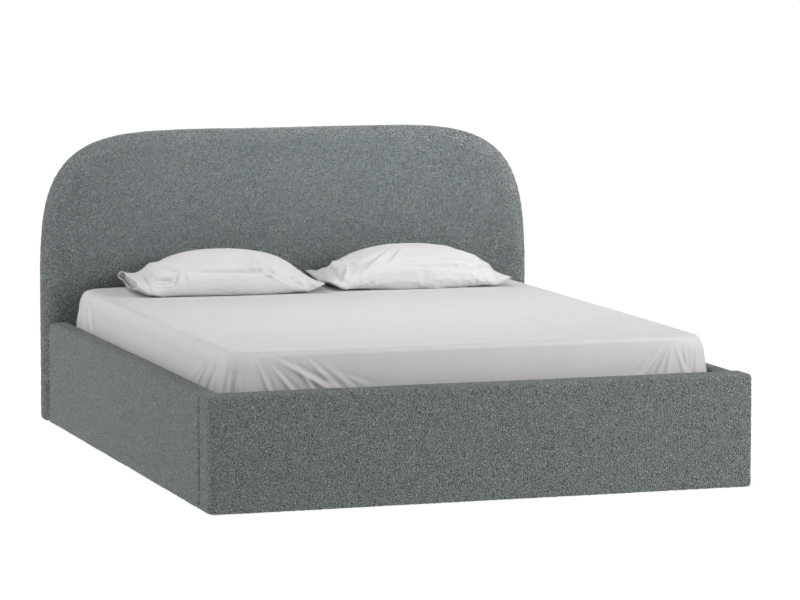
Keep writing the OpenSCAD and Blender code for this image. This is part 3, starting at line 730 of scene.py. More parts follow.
@dataclass
class Upholstery:
    """The fabric and foam of one panel, round the boards inside it.

    The cover stands higher than the part's own by its rise, hangs lower by its drop, and
    stops short of the panel before it by its seam.
    """

    name: str
    replaced: tuple[str, ...]
    boards: tuple[str, ...]
    rise: float = 0.0
    drop: float = 3.5 * MM
    seam: float = 0.0
    spacing: float = 6 * MM
    voxel_smoothing: int = 2
    board_gap: float = 0.5 * MM
    back_gap: float = 0.125 * MM
    past: float = 30 * MM
    stuffing: float = 1.6 * MM
    stuffing_size: float = 0.16
    curls: float = 1.0 * MM
    curl_size: float = 11 * MM

    def outer_box(self) -> tuple[Vector, Vector]:
        """The box of the cover, from the part's own."""
        low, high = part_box(self.replaced[0])
        return low + Vector((0, self.seam, -self.drop)), high + Vector((0, 0, self.rise))

    def boards_box(self) -> tuple[Vector, Vector]:
        """Measures the boards.

        Returns:
            The lowest and the highest corner of all of them.
        """
        boxes = [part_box(b) for b in self.boards]
        low = Vector([min(b[0][k] for b in boxes) for k in range(3)])
        high = Vector([max(b[1][k] for b in boxes) for k in range(3)])
        return low, high

    def form(self) -> bpy.types.Object:
        """The panel's outer form as a closed solid."""
        raise NotImplementedError

    def core(self) -> bpy.types.Object:
        """The space that the boards take, open where the cover is."""
        raise NotImplementedError

    def build(self) -> bpy.types.Object:
        """Models the panel's cover with its foam.

        Returns:
            The finished piece.
        """
        piece = self.form()
        apply_modifier(piece, "REMESH", mode="VOXEL", voxel_size=self.spacing)
        apply_modifier(piece, "SMOOTH", factor=0.5, iterations=self.voxel_smoothing)
        swell(piece, relief(f"{self.name}_stuffing", self.stuffing_size), self.stuffing)
        swell(piece, relief(f"{self.name}_curls", self.curl_size), 2 * self.curls)
        core = self.core()
        apply_modifier(piece, "BOOLEAN", object=core, operation="DIFFERENCE", solver="MANIFOLD")
        bpy.data.objects.remove(core)
        smooth(piece)
        return dress(piece, BOUCLE, "root", self.replaced)


@dataclass
class BlockUpholstery(Upholstery):
    """The upholstery of a straight panel with rounded edges."""

    roundings: tuple[Rounding, ...] = ()
    steps: int = 8
    flush: float = 1.5 * MM

    def form(self) -> bpy.types.Object:
        """Models a block with each of its edges rounded by its own radius.

        Returns:
            The block.
        """
        low, high = self.outer_box()
        piece = block(self.name, low, high)
        mesh = bmesh.new()
        mesh.from_mesh(piece.data)
        weight = mesh.edges.layers.float.new("bevel_weight_edge")
        widest = max(r.radius for r in self.roundings)
        for edge in mesh.edges:
            middle = (edge.verts[0].co + edge.verts[1].co - low - high) / 2
            signs = tuple(round(2 * middle[k] / (high - low)[k]) for k in range(3))
            radii = (r.radius for r in self.roundings if r.signs == signs)
            edge[weight] = next(radii, 0.0) / widest
        mesh.to_mesh(piece.data)
        mesh.free()
        apply_modifier(
            piece,
            "BEVEL",
            width=widest,
            segments=self.steps,
            limit_method="WEIGHT",
            use_clamp_overlap=False,
        )
        return piece

    def core(self) -> bpy.types.Object:
        """Models a block round the boards, running out where the cover is open.

        Returns:
            The block.
        """
        low, high = self.boards_box()
        gap = Vector((self.board_gap,) * 3)
        low, high = low - gap, high + gap
        low.z -= self.past
        outer_low, outer_high = self.outer_box()
        for k in (Axis.X.value, Axis.Y.value):
            if abs(low[k] - outer_low[k]) < self.flush:
                low[k] -= self.past
            if abs(high[k] - outer_high[k]) < self.flush:
                high[k] += self.past
        return block(f"{self.name}_core", low, high)


def block(name: str, low: Vector, high: Vector) -> bpy.types.Object:
    """Adds a block between two corners, with its object at the origin.

    Args:
        name: the block's name.
        low: its lowest corner.
        high: its highest.

    Returns:
        The block.
    """
    deselect_all()
    bpy.ops.mesh.primitive_cube_add(size=1, location=(low + high) / 2, scale=high - low)
    piece = bpy.context.object
    bpy.ops.object.transform_apply(location=True, rotation=True, scale=True)
    piece.name = name
    return piece


@dataclass
class HeadboardUpholstery(Upholstery):
    """The headboard's upholstery: swept top corners and a soft rounded edge.

    Each corner is a quarter of a superellipse, by its width, its height and its squareness.
    """

    corner_width: float = 695 * MM
    corner_height: float = 690 * MM
    squareness: float = 4.3
    foot_radius: float = 20 * MM
    foot_steps: int = 6
    least_radius: float = 0.2 * MM
    edge_radius: float = 68 * MM
    back_radius: float = 24 * MM
    core_inset: float = 38 * MM
    flange: float = 30 * MM
    draw_at_floor: float = 0.5
    corner_steps: int = 28
    corner_crowd: float = math.radians(9)
    edge_steps: int = 10

    def outline(self, inset: float) -> Points:
        """The headboard's outline in X and Z, drawn in.

        Args:
            inset: how far the outline is drawn in.

        Returns:
            The points, from the middle of the floor side round the right half and back.
        """
        low, high = self.outer_box()
        half, top = high.x, high.z
        radius = max(self.foot_radius - inset, self.least_radius)
        x, z = half - inset, low.z + inset * self.draw_at_floor
        angles = np.radians(np.linspace(-90, 0, self.foot_steps + 1))
        round_foot = np.stack([np.cos(angles), np.sin(angles)], 1) * radius
        foot = np.array([x - radius, z + radius]) + round_foot
        turn = np.radians(np.linspace(0, 90, self.corner_steps + 1))
        turn += self.corner_crowd * np.sin(4 * turn)
        ray = np.clip(np.stack([np.cos(turn), np.sin(turn)], 1), 0, 1)
        ray /= (ray**self.squareness).sum(1)[:, None] ** (1 / self.squareness)
        reach = np.array([self.corner_width, self.corner_height])
        swept = ray * reach
        slope = ray ** (self.squareness - 1) / reach
        slope /= np.linalg.norm(slope, axis=1)[:, None]
        middle = np.array([half - self.corner_width, top - self.corner_height])
        right = np.concatenate([foot, middle + swept - inset * slope])
        return np.concatenate([right, right[::-1] * (-1, 1)])

    def ring(self, y: float, inset: float) -> Points:
        """One outline stood up at a place from front to back."""
        flat = self.outline(inset)
        return np.stack([flat[:, 0], np.full(len(flat), y), flat[:, 1]], 1)

    def form(self) -> bpy.types.Object:
        """Lofts the headboard from its front face, round its edge, to its back.

        Returns:
            The headboard as a closed solid.
        """
        low, high = self.outer_box()
        middle, half = (low.y + high.y) / 2, (high.y - low.y) / 2
        rings = []
        for i in range(2 * self.edge_steps + 1):
            angle = math.pi * i / (2 * self.edge_steps)
            radius = self.edge_radius if i < self.edge_steps else self.back_radius
            rings.append(self.ring(middle - half * math.cos(angle), radius * (1 - math.sin(angle))))
        piece = new_piece(self.name, *loft(rings))
        point_outwards(piece)
        return piece

    def core(self) -> bpy.types.Object:
        """Lofts the boards' space, with the opening inside the cover's turned flange.

        Returns:
            The space as a closed solid.
        """
        _, high = self.outer_box()
        board_low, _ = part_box("headboard_board")
        _, frame_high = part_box("headboard_frame")
        front, back = board_low.y - self.board_gap, frame_high.y + self.back_gap
        inset, opening = self.core_inset - self.board_gap, self.core_inset + self.flange
        rings = [
            self.ring(front, inset),
            self.ring(back, inset),
            self.ring(back, opening),
            self.ring(high.y + self.past, opening),
        ]
        piece = new_piece(f"{self.name}_core", *loft(rings))
        point_outwards(piece)
        return piece


# Mattress and fitted sheet, both wound round one plan


def smoothstep(low: float, high: float, value: Points) -> Points:
    """Rises smoothly from 0 at one value to 1 at another."""
    t = np.clip((value - low) / (high - low), 0, 1)
    return t * t * (3 - 2 * t)


@dataclass
class Plan:
    """A rounded rectangle, walked from the middle of each corner to the next.

    Its stations lie fine within reach of a corner, and further apart along the rest of the
    short sides and of the long ones. A long side keeps its share of the corners' inset.
    """

    half: float
    front: float
    back: float
    radius: float
    fine: float = 4.4 * MM
    across: float = 10 * MM
    along: float = 20 * MM
    reach: float = 0.3
    corner_reach: float = 0.1
    long_side: float = 0.0

    def side_lengths(self) -> list[float]:
        """Measures the sides with their corner arcs.

        Returns:
            The lengths of the front, the right, the back and the left side.
        """
        arcs = self.radius * math.pi / 2 - 2 * self.radius
        across = 2 * self.half + arcs
        along = self.back - self.front + arcs
        return [across, along, across, along]

    def stations(self, side: int) -> Points:
        """Places stations along a side, close together near its two corners.

        Args:
            side: the side, as walk() counts them.

        Returns:
            Their distances from the middle of the side's first corner.
        """
        length = self.side_lengths()[side]
        coarse = self.along if side % 2 else self.across
        near = np.linspace(0, self.reach, round(self.reach / self.fine) + 1)
        gap = length - 2 * self.reach
        middle = np.linspace(self.reach, length - self.reach, max(2, round(gap / coarse) + 1))
        return np.concatenate([near, middle[1:-1], length - near[::-1]])

    def cornering(self, side: int, distance: Points) -> Points:
        """Says how much of the corners' inset each station takes.

        Args:
            side: the side.
            distance: the stations' distances along it.

        Returns:
            The shares: 1 at a corner's middle, and less along the sides.
        """
        off = np.minimum(distance, self.side_lengths()[side] - distance)
        along = self.long_side if side % 2 else 0.0
        return along + (1 - along) * np.exp(-((off / self.corner_reach) ** 2))

    def walk(self, side: int, distance: Points, inset: Points) -> Points:
        """Places along one side.

        Args:
            side: 0 for the front, 1 the right, 2 the back and 3 the left.
            distance: distances from the middle of the side's first corner.
            inset: how far the outline is drawn in at each of them.

        Returns:
            The places as rows of X and Y.
        """
        length = self.side_lengths()[side]
        arc = self.radius * math.pi / 4
        start = np.clip(distance, 0, arc)
        end = np.clip(distance - (length - arc), 0, arc)
        angle = -math.pi / 2 + (start - arc + end) / self.radius
        straight = np.clip(distance - arc, 0, length - 2 * arc) - (length - 2 * arc) / 2
        deep = self.half if side % 2 else (self.back - self.front) / 2
        centres = np.stack([straight, np.full(len(distance), self.radius - deep)], 1)
        spokes = np.stack([np.cos(angle), np.sin(angle)], 1)
        local = centres + spokes * (self.radius - inset)[:, None]
        cos, sin = math.cos(math.pi / 2 * side), math.sin(math.pi / 2 * side)
        turn = np.array([[cos, sin], [-sin, cos]])
        return local @ turn + np.array([0, (self.front + self.back) / 2])


@dataclass
class Wrapping:
    """A skin wound round a rounded block.

    Each point has its side, its distance along it, and its distance up from the lowest ring.
    """

    points: Points
    faces: list[list[int]]
    side: Points
    along: Points
    level: Points

    def corner_distance(self, plan: Plan, corner: int) -> Points:
        """Measures the wound points from a corner's middle.

        Args:
            plan: the plan that they were wound round.
            corner: the side that starts at the corner.

        Returns:
            The distances: more than zero past the corner, and without end on other sides.
        """
        lengths = plan.side_lengths()
        before = (corner - 1) % 4
        distance = np.full(len(self.side), np.inf)
        distance[self.side == corner] = self.along[self.side == corner]
        distance[self.side == before] = self.along[self.side == before] - lengths[before]
        return distance


def wrap(
    plan: Plan, profile: Sequence[tuple[float, float, float]], close_bottom: bool = False
) -> Wrapping:
    """Winds rings round a plan and closes their top with a grid.

    Args:
        plan: the rounded rectangle.
        profile: each ring's inset, height and more inset at the corners, from the lowest up.
        close_bottom: whether the lowest ring is closed by a grid as well.

    Returns:
        The skin. A point of a grid has a side of -1.
    """
    distances = [plan.stations(k)[:-1] for k in range(4)]
    counts = [len(d) for d in distances]
    size = sum(counts)
    rings = []
    for inset, height, draw in profile:
        flat = np.concatenate(
            [plan.walk(k, d, inset + draw * plan.cornering(k, d)) for k, d in enumerate(distances)]
        )
        rings.append(np.column_stack([flat, np.full(size, height)]))
    step = np.arange(size)
    faces: list[list[int]] = []
    for j in range(len(rings) - 1):
        low, high = j * size + step, (j + 1) * size + step
        faces += np.stack([low, np.roll(low, -1), np.roll(high, -1), high], 1).tolist()
    points = np.concatenate(rings)
    wound = len(points)
    for base, flip in [((len(rings) - 1) * size, False)] + [(0, True)] * close_bottom:
        points, grid = close_with_grid(points, base, counts, flip)
        faces += grid
    rest = len(points) - wound
    sides = np.tile(np.repeat(np.arange(4), counts), len(rings))
    side = np.concatenate([sides, np.full(rest, -1)])
    along = np.concatenate([np.tile(np.concatenate(distances), len(rings)), np.zeros(rest)])
    path = np.cumsum([0.0] + [math.dist(a[:2], b[:2]) for a, b in zip(profile, profile[1:])])
    level = np.concatenate([np.repeat(path, size), np.full(rest, path[-1])])
    return Wrapping(points, faces, side, along, level)


def close_with_grid(
    points: Points, base: int, counts: Sequence[int], flip: bool
) -> tuple[Points, list[list[int]]]:
    """Closes a ring of four sides with a grid between its opposite sides.

    Args:
        points: all the points so far.
        base: the place of the ring's first point.
        counts: the steps of the ring's four sides.
        flip: whether the faces look down.

    Returns:
        The points with the grid's added, and the grid's faces.
    """
    across, along = counts[0], counts[1]
    turn = base + np.arange(sum(counts) + 1) % sum(counts)
    ids = np.zeros((along + 1, across + 1), int)
    ids[0, :] = turn[: across + 1]
    ids[:, across] = turn[across : across + along + 1]
    ids[along, :] = turn[across + along : 2 * across + along + 1][::-1]
    ids[:, 0] = turn[2 * across + along :][::-1]
    u = np.linspace(0, 1, across + 1)[None, :, None]
    v = np.linspace(0, 1, along + 1)[:, None, None]
    low, high = points[ids[0, :]][None], points[ids[along, :]][None]
    left, right = points[ids[:, 0]][:, None], points[ids[:, across]][:, None]
    corners = (
        (1 - u) * (1 - v) * low[:, :1]
        + u * (1 - v) * low[:, -1:]
        + (1 - u) * v * high[:, :1]
        + u * v * high[:, -1:]
    )
    grid = (1 - v) * low + v * high + (1 - u) * left + u * right - corners
    inner = grid[1:-1, 1:-1].reshape(-1, 3)
    ids[1:-1, 1:-1] = (len(points) + np.arange(len(inner))).reshape(along - 1, across - 1)
    quads = np.stack([ids[:-1, :-1], ids[:-1, 1:], ids[1:, 1:], ids[1:, :-1]], -1).reshape(-1, 4)
    return np.concatenate([points, inner]), (quads[:, ::-1] if flip else quads).tolist()


def point_normals(piece: bpy.types.Object) -> Points:
    """Reads the outward direction at each of the piece's points.

    Args:
        piece: the piece.

    Returns:
        The directions, one row each.
    """
    flat = np.empty(len(piece.data.vertices) * 3)
    piece.data.vertex_normals.foreach_get("vector", flat)
    return flat.reshape(-1, 3)


@dataclass
class Shoulder:
    """The edges of a mattress from its underside to its top.

    Its corners are drawn in over their drop from the top, and flare a little below it.
    """

    lower: float = 30 * MM
    upper: float = 15 * MM
    corner_draw: float = 30 * MM
    corner_drop: float = 62 * MM
    corner_flare: float = 9 * MM
    flare_height: float = 30 * MM

    def draw(self, low: float, high: float, z: float) -> float:
        """Says how far the corners are drawn in.

        Args:
            low: the mattress's lowest height.
            high: its highest.
            z: the height to ask for.

        Returns:
            The inset, less than zero where the corners flare.
        """
        foot = low + self.flare_height
        t = min(max((z - high + self.corner_drop) / self.corner_drop, 0.0), 1.0)
        rise = min(max((z - foot) / (high - self.corner_drop - foot), 0.0), 1.0)
        return self.corner_draw * (1 - math.sqrt(1 - t * t)) - self.corner_flare * (1 - rise * rise)

    def profile(
        self, low: float, high: float, gap: float, steps: int = 8, lines: int = 38
    ) -> list[tuple[float, float, float]]:
        """Lines up the side of the block.

        Args:
            low: the block's lowest height.
            high: its highest.
            gap: how far outside the block the line runs.
            steps: the lines round each edge.
            lines: the lines up its side.

        Returns:
            The inset, the height and the corners' inset, from the bottom edge to the top edge.
        """
        turn = [math.pi / 2 * i / steps for i in range(steps + 1)]
        under, over = self.lower + gap, self.upper + gap
        bottom = [
            (self.lower - under * math.sin(a), low + self.lower - under * math.cos(a)) for a in turn
        ]
        top = [
            (self.upper - over * math.cos(a), high - self.upper + over * math.sin(a)) for a in turn
        ]
        reach = high - low - self.lower - self.upper
        rise = [(-gap, low + self.lower + reach * i / lines) for i in range(1, lines)]
        return [(inset, z, self.draw(low, high, z)) for inset, z in bottom + rise + top]


@dataclass
class Mattress:
    """A foam mattress in quilted knitted ticking, slack enough to stay under its sheet."""

    corner_radius: float = 70 * MM
    softer_sides: float = 0.85
    slack: float = 0.5 * MM
    side_slack: float = 3.5 * MM
    side_ease: float = 20.0
    spacing: float = 18 * MM
    edge_steps: int = 6
    side_lines: int = 14
    underside: float = 2 * MM
    pressed: float = 2.5 * MM
    pressed_width: float = 62 * MM
    pressed_flat: float = 0.7
    quilt: float = 90 * MM
    quilt_depth: float = 1.6 * MM
    shoulder: Shoulder = field(default_factory=Shoulder)

    def plan(self) -> Plan:
        """The mattress's plan."""
        low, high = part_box("mattress")
        return Plan(high.x, low.y, high.y, self.corner_radius, long_side=self.softer_sides)

    def build(self) -> bpy.types.Object:
        """Models the mattress under its sheet.

        Returns:
            The finished piece.
        """
        low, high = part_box("mattress")
        plan = self.plan()
        plan.fine = plan.across = plan.along = self.spacing
        profile = self.shoulder.profile(low.z, high.z, -self.slack, self.edge_steps, self.side_lines)
        skin = wrap(plan, profile, close_bottom=True)
        piece = new_piece("mattress_pad", skin.points, skin.faces)
        points = coordinates(piece)
        edge = np.minimum(high.x - np.abs(points[:, 0]), points[:, 1] - low.y)
        edge = np.minimum(edge, high.y - points[:, 1])
        inward = (points - np.array((low + high) / 2)) * (1, 1, 0)
        points -= np.clip(inward * self.side_ease, -self.side_slack, self.side_slack)
        under = points[:, 2] < low.z + self.underside
        flat = self.pressed_flat * self.pressed_width
        lift = self.pressed * (1 - smoothstep(flat, self.pressed_width, edge))
        wave = np.cos(points[:, :2] * 2 * math.pi / self.quilt).prod(1)
        lift = np.maximum(lift, self.quilt_depth * (1 - np.abs(wave)) ** 4)
        points[under, 2] += lift[under]
        set_coordinates(piece, points)
        smooth(piece)
        return dress(piece, TICKING, "mattress", ("mattress",))


@dataclass(frozen=True)
class Fold:
    """A pulled fold: a ridge that grows from its start, with a valley beside it.

    Its two ends are places across and up. Its growth runs in shares of its length, and the
    place, the width and the starting width of its valley and ridge in shares of its width.
    """

    start: tuple[float, float]
    end: tuple[float, float]
    width: float
    height: float
    valley: float = 0.6
    growth: tuple[float, float] = (-0.08, 0.75)
    fade: float = 30 * MM
    narrowest: float = 0.55
    sharpness: float = 1.6
    valley_place: float = 1.9
    valley_width: float = 1.1

    def relief(self, u: Points, z: Points) -> Points:
        """Says how far the fold stands out of the cloth.

        Args:
            u: the places across.
            z: the places up.

        Returns:
            The heights, less than zero in its valley.
        """
        start, end = np.array(self.start), np.array(self.end)
        run = end - start
        length = np.linalg.norm(run)
        run = run / length
        du, dz = u - start[0], z - start[1]
        t = (du * run[0] + dz * run[1]) / length
        off = (du * run[1] - dz * run[0]) * (1 if run[0] >= 0 else -1)
        grown = smoothstep(*self.growth, t) * (1 - smoothstep(1.0, 1.0 + self.fade / length, t))
        width = self.width * (self.narrowest + (1 - self.narrowest) * np.clip(t, 0, 1))
        ridge = np.exp(-(np.abs(off / width) ** self.sharpness))
        dip = np.exp(-(((off + self.valley_place * width) / (self.valley_width * width)) ** 2))
        return self.height * grown * (ridge - self.valley * dip)


def mm_folds(*rows: tuple[float, ...]) -> tuple[Fold, ...]:
    """Makes folds from rows of millimetres.

    Args:
        rows: each fold's start across and up, its end across and up, its width and its height.

    Returns:
        The folds.
    """
    lengths = ([value * MM for value in row] for row in rows)
    return tuple(Fold((a, b), (c, d), width, height) for a, b, c, d, width, height in lengths)


@dataclass
class FittedSheet:
    """A fitted sheet, pulled over the mattress and gathered under it by its elastic.

    Its folds run from each corner: distances past the corner's middle, and heights above the
    floor, which go on over the top edge. The corners are near left, near right and back.
    """

    cloth: float = 1.2 * MM
    hem_inset: float = 46 * MM
    hem_lines: int = 3
    gather: float = 4.0 * MM
    gather_pitch: float = 21 * MM
    gather_reach: float = 0.22
    gather_heights: tuple[float, float] = (30 * MM, 110 * MM)
    fold_reach: float = 0.6
    hem_fade: tuple[float, float] = (4 * MM, 30 * MM)
    undulation: float = 0.65 * MM
    deepest: float = 4.2 * MM
    deepest_on_top: float = 1.0 * MM
    crease: float = 1.6 * MM
    crease_width: float = 5 * MM
    crease_on_top: float = 0.5
    creases: tuple[float, ...] = (-379 * MM, 420 * MM)
    flat: tuple[float, float] = (2.06, 2.45)
    area: float = 4.82
    mattress: Mattress = field(default_factory=Mattress)
    corner_folds: tuple[tuple[Fold, ...], ...] = (
        mm_folds(
            (70, 470, 112, 358, 6.6, 6.5),
            (96, 440, 122, 356, 5.4, 3.8),
            (112, 448, 186, 358, 7.2, 6.5),
            (120, 466, 296, 362, 9.6, 8.6),
            (180, 462, 252, 360, 6.6, 4.7),
            (228, 462, 330, 360, 7.8, 6.5),
            (290, 440, 372, 364, 7.2, 5.6),
            (330, 410, 420, 366, 7.2, 2.9),
            (20, 474, 18, 340, 5.4, 5.6),
            (-4, 474, -6, 340, 5.4, 4.7),
            (-26, 470, -34, 340, 6, 6.2),
            (-46, 466, -76, 345, 6.6, 5.6),
            (-66, 466, -120, 350, 7.2, 6.5),
            (-92, 466, -200, 352, 8.4, 7.7),
            (-170, 460, -290, 360, 7.8, 5.6),
            (-250, 440, -380, 362, 8.4, 3.8),
        ),
        mm_folds(
            (-124, 470, -212, 360, 8.4, 7.7),
            (-114, 464, -166, 352, 7.2, 6.5),
            (-112, 466, -134, 354, 6, 4.7),
            (-104, 458, -76, 370, 6, 5.6),
            (-70, 470, -64, 350, 5.4, 4.7),
            (-30, 470, -34, 345, 5.4, 5.6),
            (0, 472, 2, 345, 5.4, 4.7),
            (22, 470, 32, 345, 6, 5.6),
            (60, 468, 120, 350, 7.2, 6.5),
            (110, 464, 220, 352, 8.4, 6.5),
        ),
        mm_folds(
            (-40, 470, -70, 350, 7.2, 5.6),
            (-90, 466, -170, 352, 7.8, 6.5),
            (10, 470, 8, 350, 6, 4.7),
            (70, 466, 140, 352, 7.8, 6.5),
        ),
        mm_folds(
            (-120, 466, -210, 352, 7.8, 6.5),
            (-60, 470, -90, 352, 7.2, 6.5),
            (-24, 472, -34, 350, 6, 5.6),
            (2, 472, 4, 345, 5.4, 5.6),
            (24, 472, 32, 345, 6, 6.5),
            (50, 470, 72, 345, 6.6, 5.6),
            (86, 466, 136, 352, 7.2, 6.5),
            (130, 462, 230, 356, 8.4, 4.7),
        ),
    )

    def profile(self) -> list[tuple[float, float, float]]:
        """Draws the sheet's line from its hem under the mattress to the top edge.

        Returns:
            The inset, the height and the corners' inset of each ring.
        """
        low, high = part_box("mattress")
        shoulder = self.mattress.shoulder
        body = shoulder.profile(low.z, high.z, self.cloth)
        body = [(inset, max(z, low.z + SEAT), draw) for inset, z, draw in body]
        reach = self.hem_inset - shoulder.lower
        hem = [
            (shoulder.lower + reach * (1 - i / self.hem_lines), low.z + SEAT, body[0][2])
            for i in range(self.hem_lines)
        ]
        return hem + body

    def build(self) -> bpy.types.Object:
        """Models the sheet and its folds.

        Returns:
            The finished piece.
        """
        low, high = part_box("mattress")
        plan = self.mattress.plan()
        profile = self.profile()
        skin = wrap(plan, profile)
        piece = new_piece("fitted_sheet_cotton", skin.points, skin.faces)
        normals = point_normals(piece)
        points = skin.points.copy()
        wound = skin.side >= 0
        radius = self.mattress.shoulder.upper
        top_level = skin.level.max()
        height = high.z - radius + radius * math.pi / 2 - (top_level - skin.level)
        out = np.zeros(len(points))
        for corner, folds in enumerate(self.corner_folds):
            u = skin.corner_distance(plan, corner)
            near = np.abs(u) < self.fold_reach
            for fold in folds:
                out[near] += fold.relief(u[near], height[near])
            lowest, highest = (low.z + up for up in self.gather_heights)
            pull = np.exp(-((u[near] / self.gather_reach) ** 2))
            pull *= 1 - smoothstep(lowest, highest, points[near, 2])
            out[near] += self.gather * pull * np.sin(u[near] * 2 * math.pi / self.gather_pitch)
        hem = [low.z + up for up in self.hem_fade]
        shown = smoothstep(*hem, points[:, 2])
        out *= shown
        for x in self.creases:
            line = np.exp(-(((points[:, 0] - x) / self.crease_width) ** 2))
            out += self.crease * line * np.where(wound, shown, self.crease_on_top)
        x, y = points[:, 0], points[:, 1]
        # Slow waves of about a metre, each bent by the other so that none repeats
        waves = np.sin(x * 7.1 + 1.3 * np.sin(y * 3.7)) * np.sin(y * 5.3 + 1.7 * np.sin(x * 4.1))
        out += self.undulation * waves * shown
        out = np.maximum(out, np.where(wound, -self.deepest * shown, -self.deepest_on_top))
        set_coordinates(piece, points + normals * out[:, None])
        smooth(piece, CLOTH_ANGLE)
        return dress(piece, SHEET_COTTON, "mattress", ("fitted_sheet",))


@dataclass(frozen=True)
class Dimple:
    """An oval swelling of a pillow, as seen from the foot, with a groove round it.

    A fainter groove runs outside the first. Both lie and spread by shares of the swelling.
    """

    middle: tuple[float, float]
    half_width: float
    half_height: float
    height: float
    groove: float
    groove_spread: float = 0.16
    outer_place: float = 1.45
    outer_spread: float = 0.14
    outer_share: float = 0.6

    def relief(self, u: Points, z: Points) -> Points:
        """Says how far the swelling stands out of the cloth.

        Args:
            u: the places across.
            z: the places up.

        Returns:
            The heights, less than zero in its grooves.
        """
        across, up = (u - self.middle[0]) / self.half_width, (z - self.middle[1]) / self.half_height
        off = np.hypot(across, up)
        ring = np.exp(-(((off - 1.0) / self.groove_spread) ** 2))
        ring += self.outer_share * np.exp(-(((off - self.outer_place) / self.outer_spread) ** 2))
        return self.height * np.exp(-(off**4)) - self.groove * ring


PILLOW_FOLDS: dict[Side, tuple[Fold | Dimple, ...]] = {
    Side.LEFT: (
        Dimple((-193 * MM, -25 * MM), 44 * MM, 22 * MM, 17 * MM, 8 * MM),
        *mm_folds(
            (-136, 18, -150, -53, 5, -8),
            (-122, 7, -111, -46, 5, -7),
            (-154, 28, -288, 11, 7, 6),
            (-146, -14, 179, -11, 6.5, -9),
            (-210, 28, -309, -18, 7, -5),
            (80, 64, 143, 3, 7, 9),
            (90, 25, 186, -28, 6.5, 9),
            (143, 46, 278, -46, 7, 9),
            (136, -4, 225, -57, 6.5, 8),
            (200, 39, 327, -57, 8.5, 8),
            (66, 39, 122, -4, 6, 6),
            (193, -18, 37, -89, 10, 5),
            (59, -18, 87, -81, 10, 4),
            (-26, -25, -62, -89, 10, 4.5),
            (-253, -53, -161, -81, 9, -5),
        ),
    ),
    Side.RIGHT: (
        Dimple((-239 * MM, -19 * MM), 34 * MM, 17 * MM, 12 * MM, 5 * MM),
        *mm_folds(
            (-200, 31, -286, -26, 7, 11),
            (-178, 21, -250, -12, 6.5, 8),
            (-265, 24, -329, -19, 8, -6),
            (-56, 53, -128, -12, 8, 6),
            (-78, 39, -150, 3, 7, -4),
            (-99, -17, 238, -12, 7, -9),
            (-13, 60, -56, 3, 8, 5),
            (116, 67, 231, 17, 9, 8),
            (159, 46, 288, -8, 8, 8),
            (138, 10, 224, -12, 8, 6),
            (245, 3, 324, -48, 8, 5),
            (-71, -26, -85, -83, 9, 5),
            (8, -26, -13, -76, 10, 5),
            (116, -26, 102, -76, 10, 4),
            (224, -26, 238, -73, 10, 4),
            (-207, -4, -222, -58, 6.5, 8),
            (-279, -26, -225, -69, 8, -6),
        ),
    ),
}


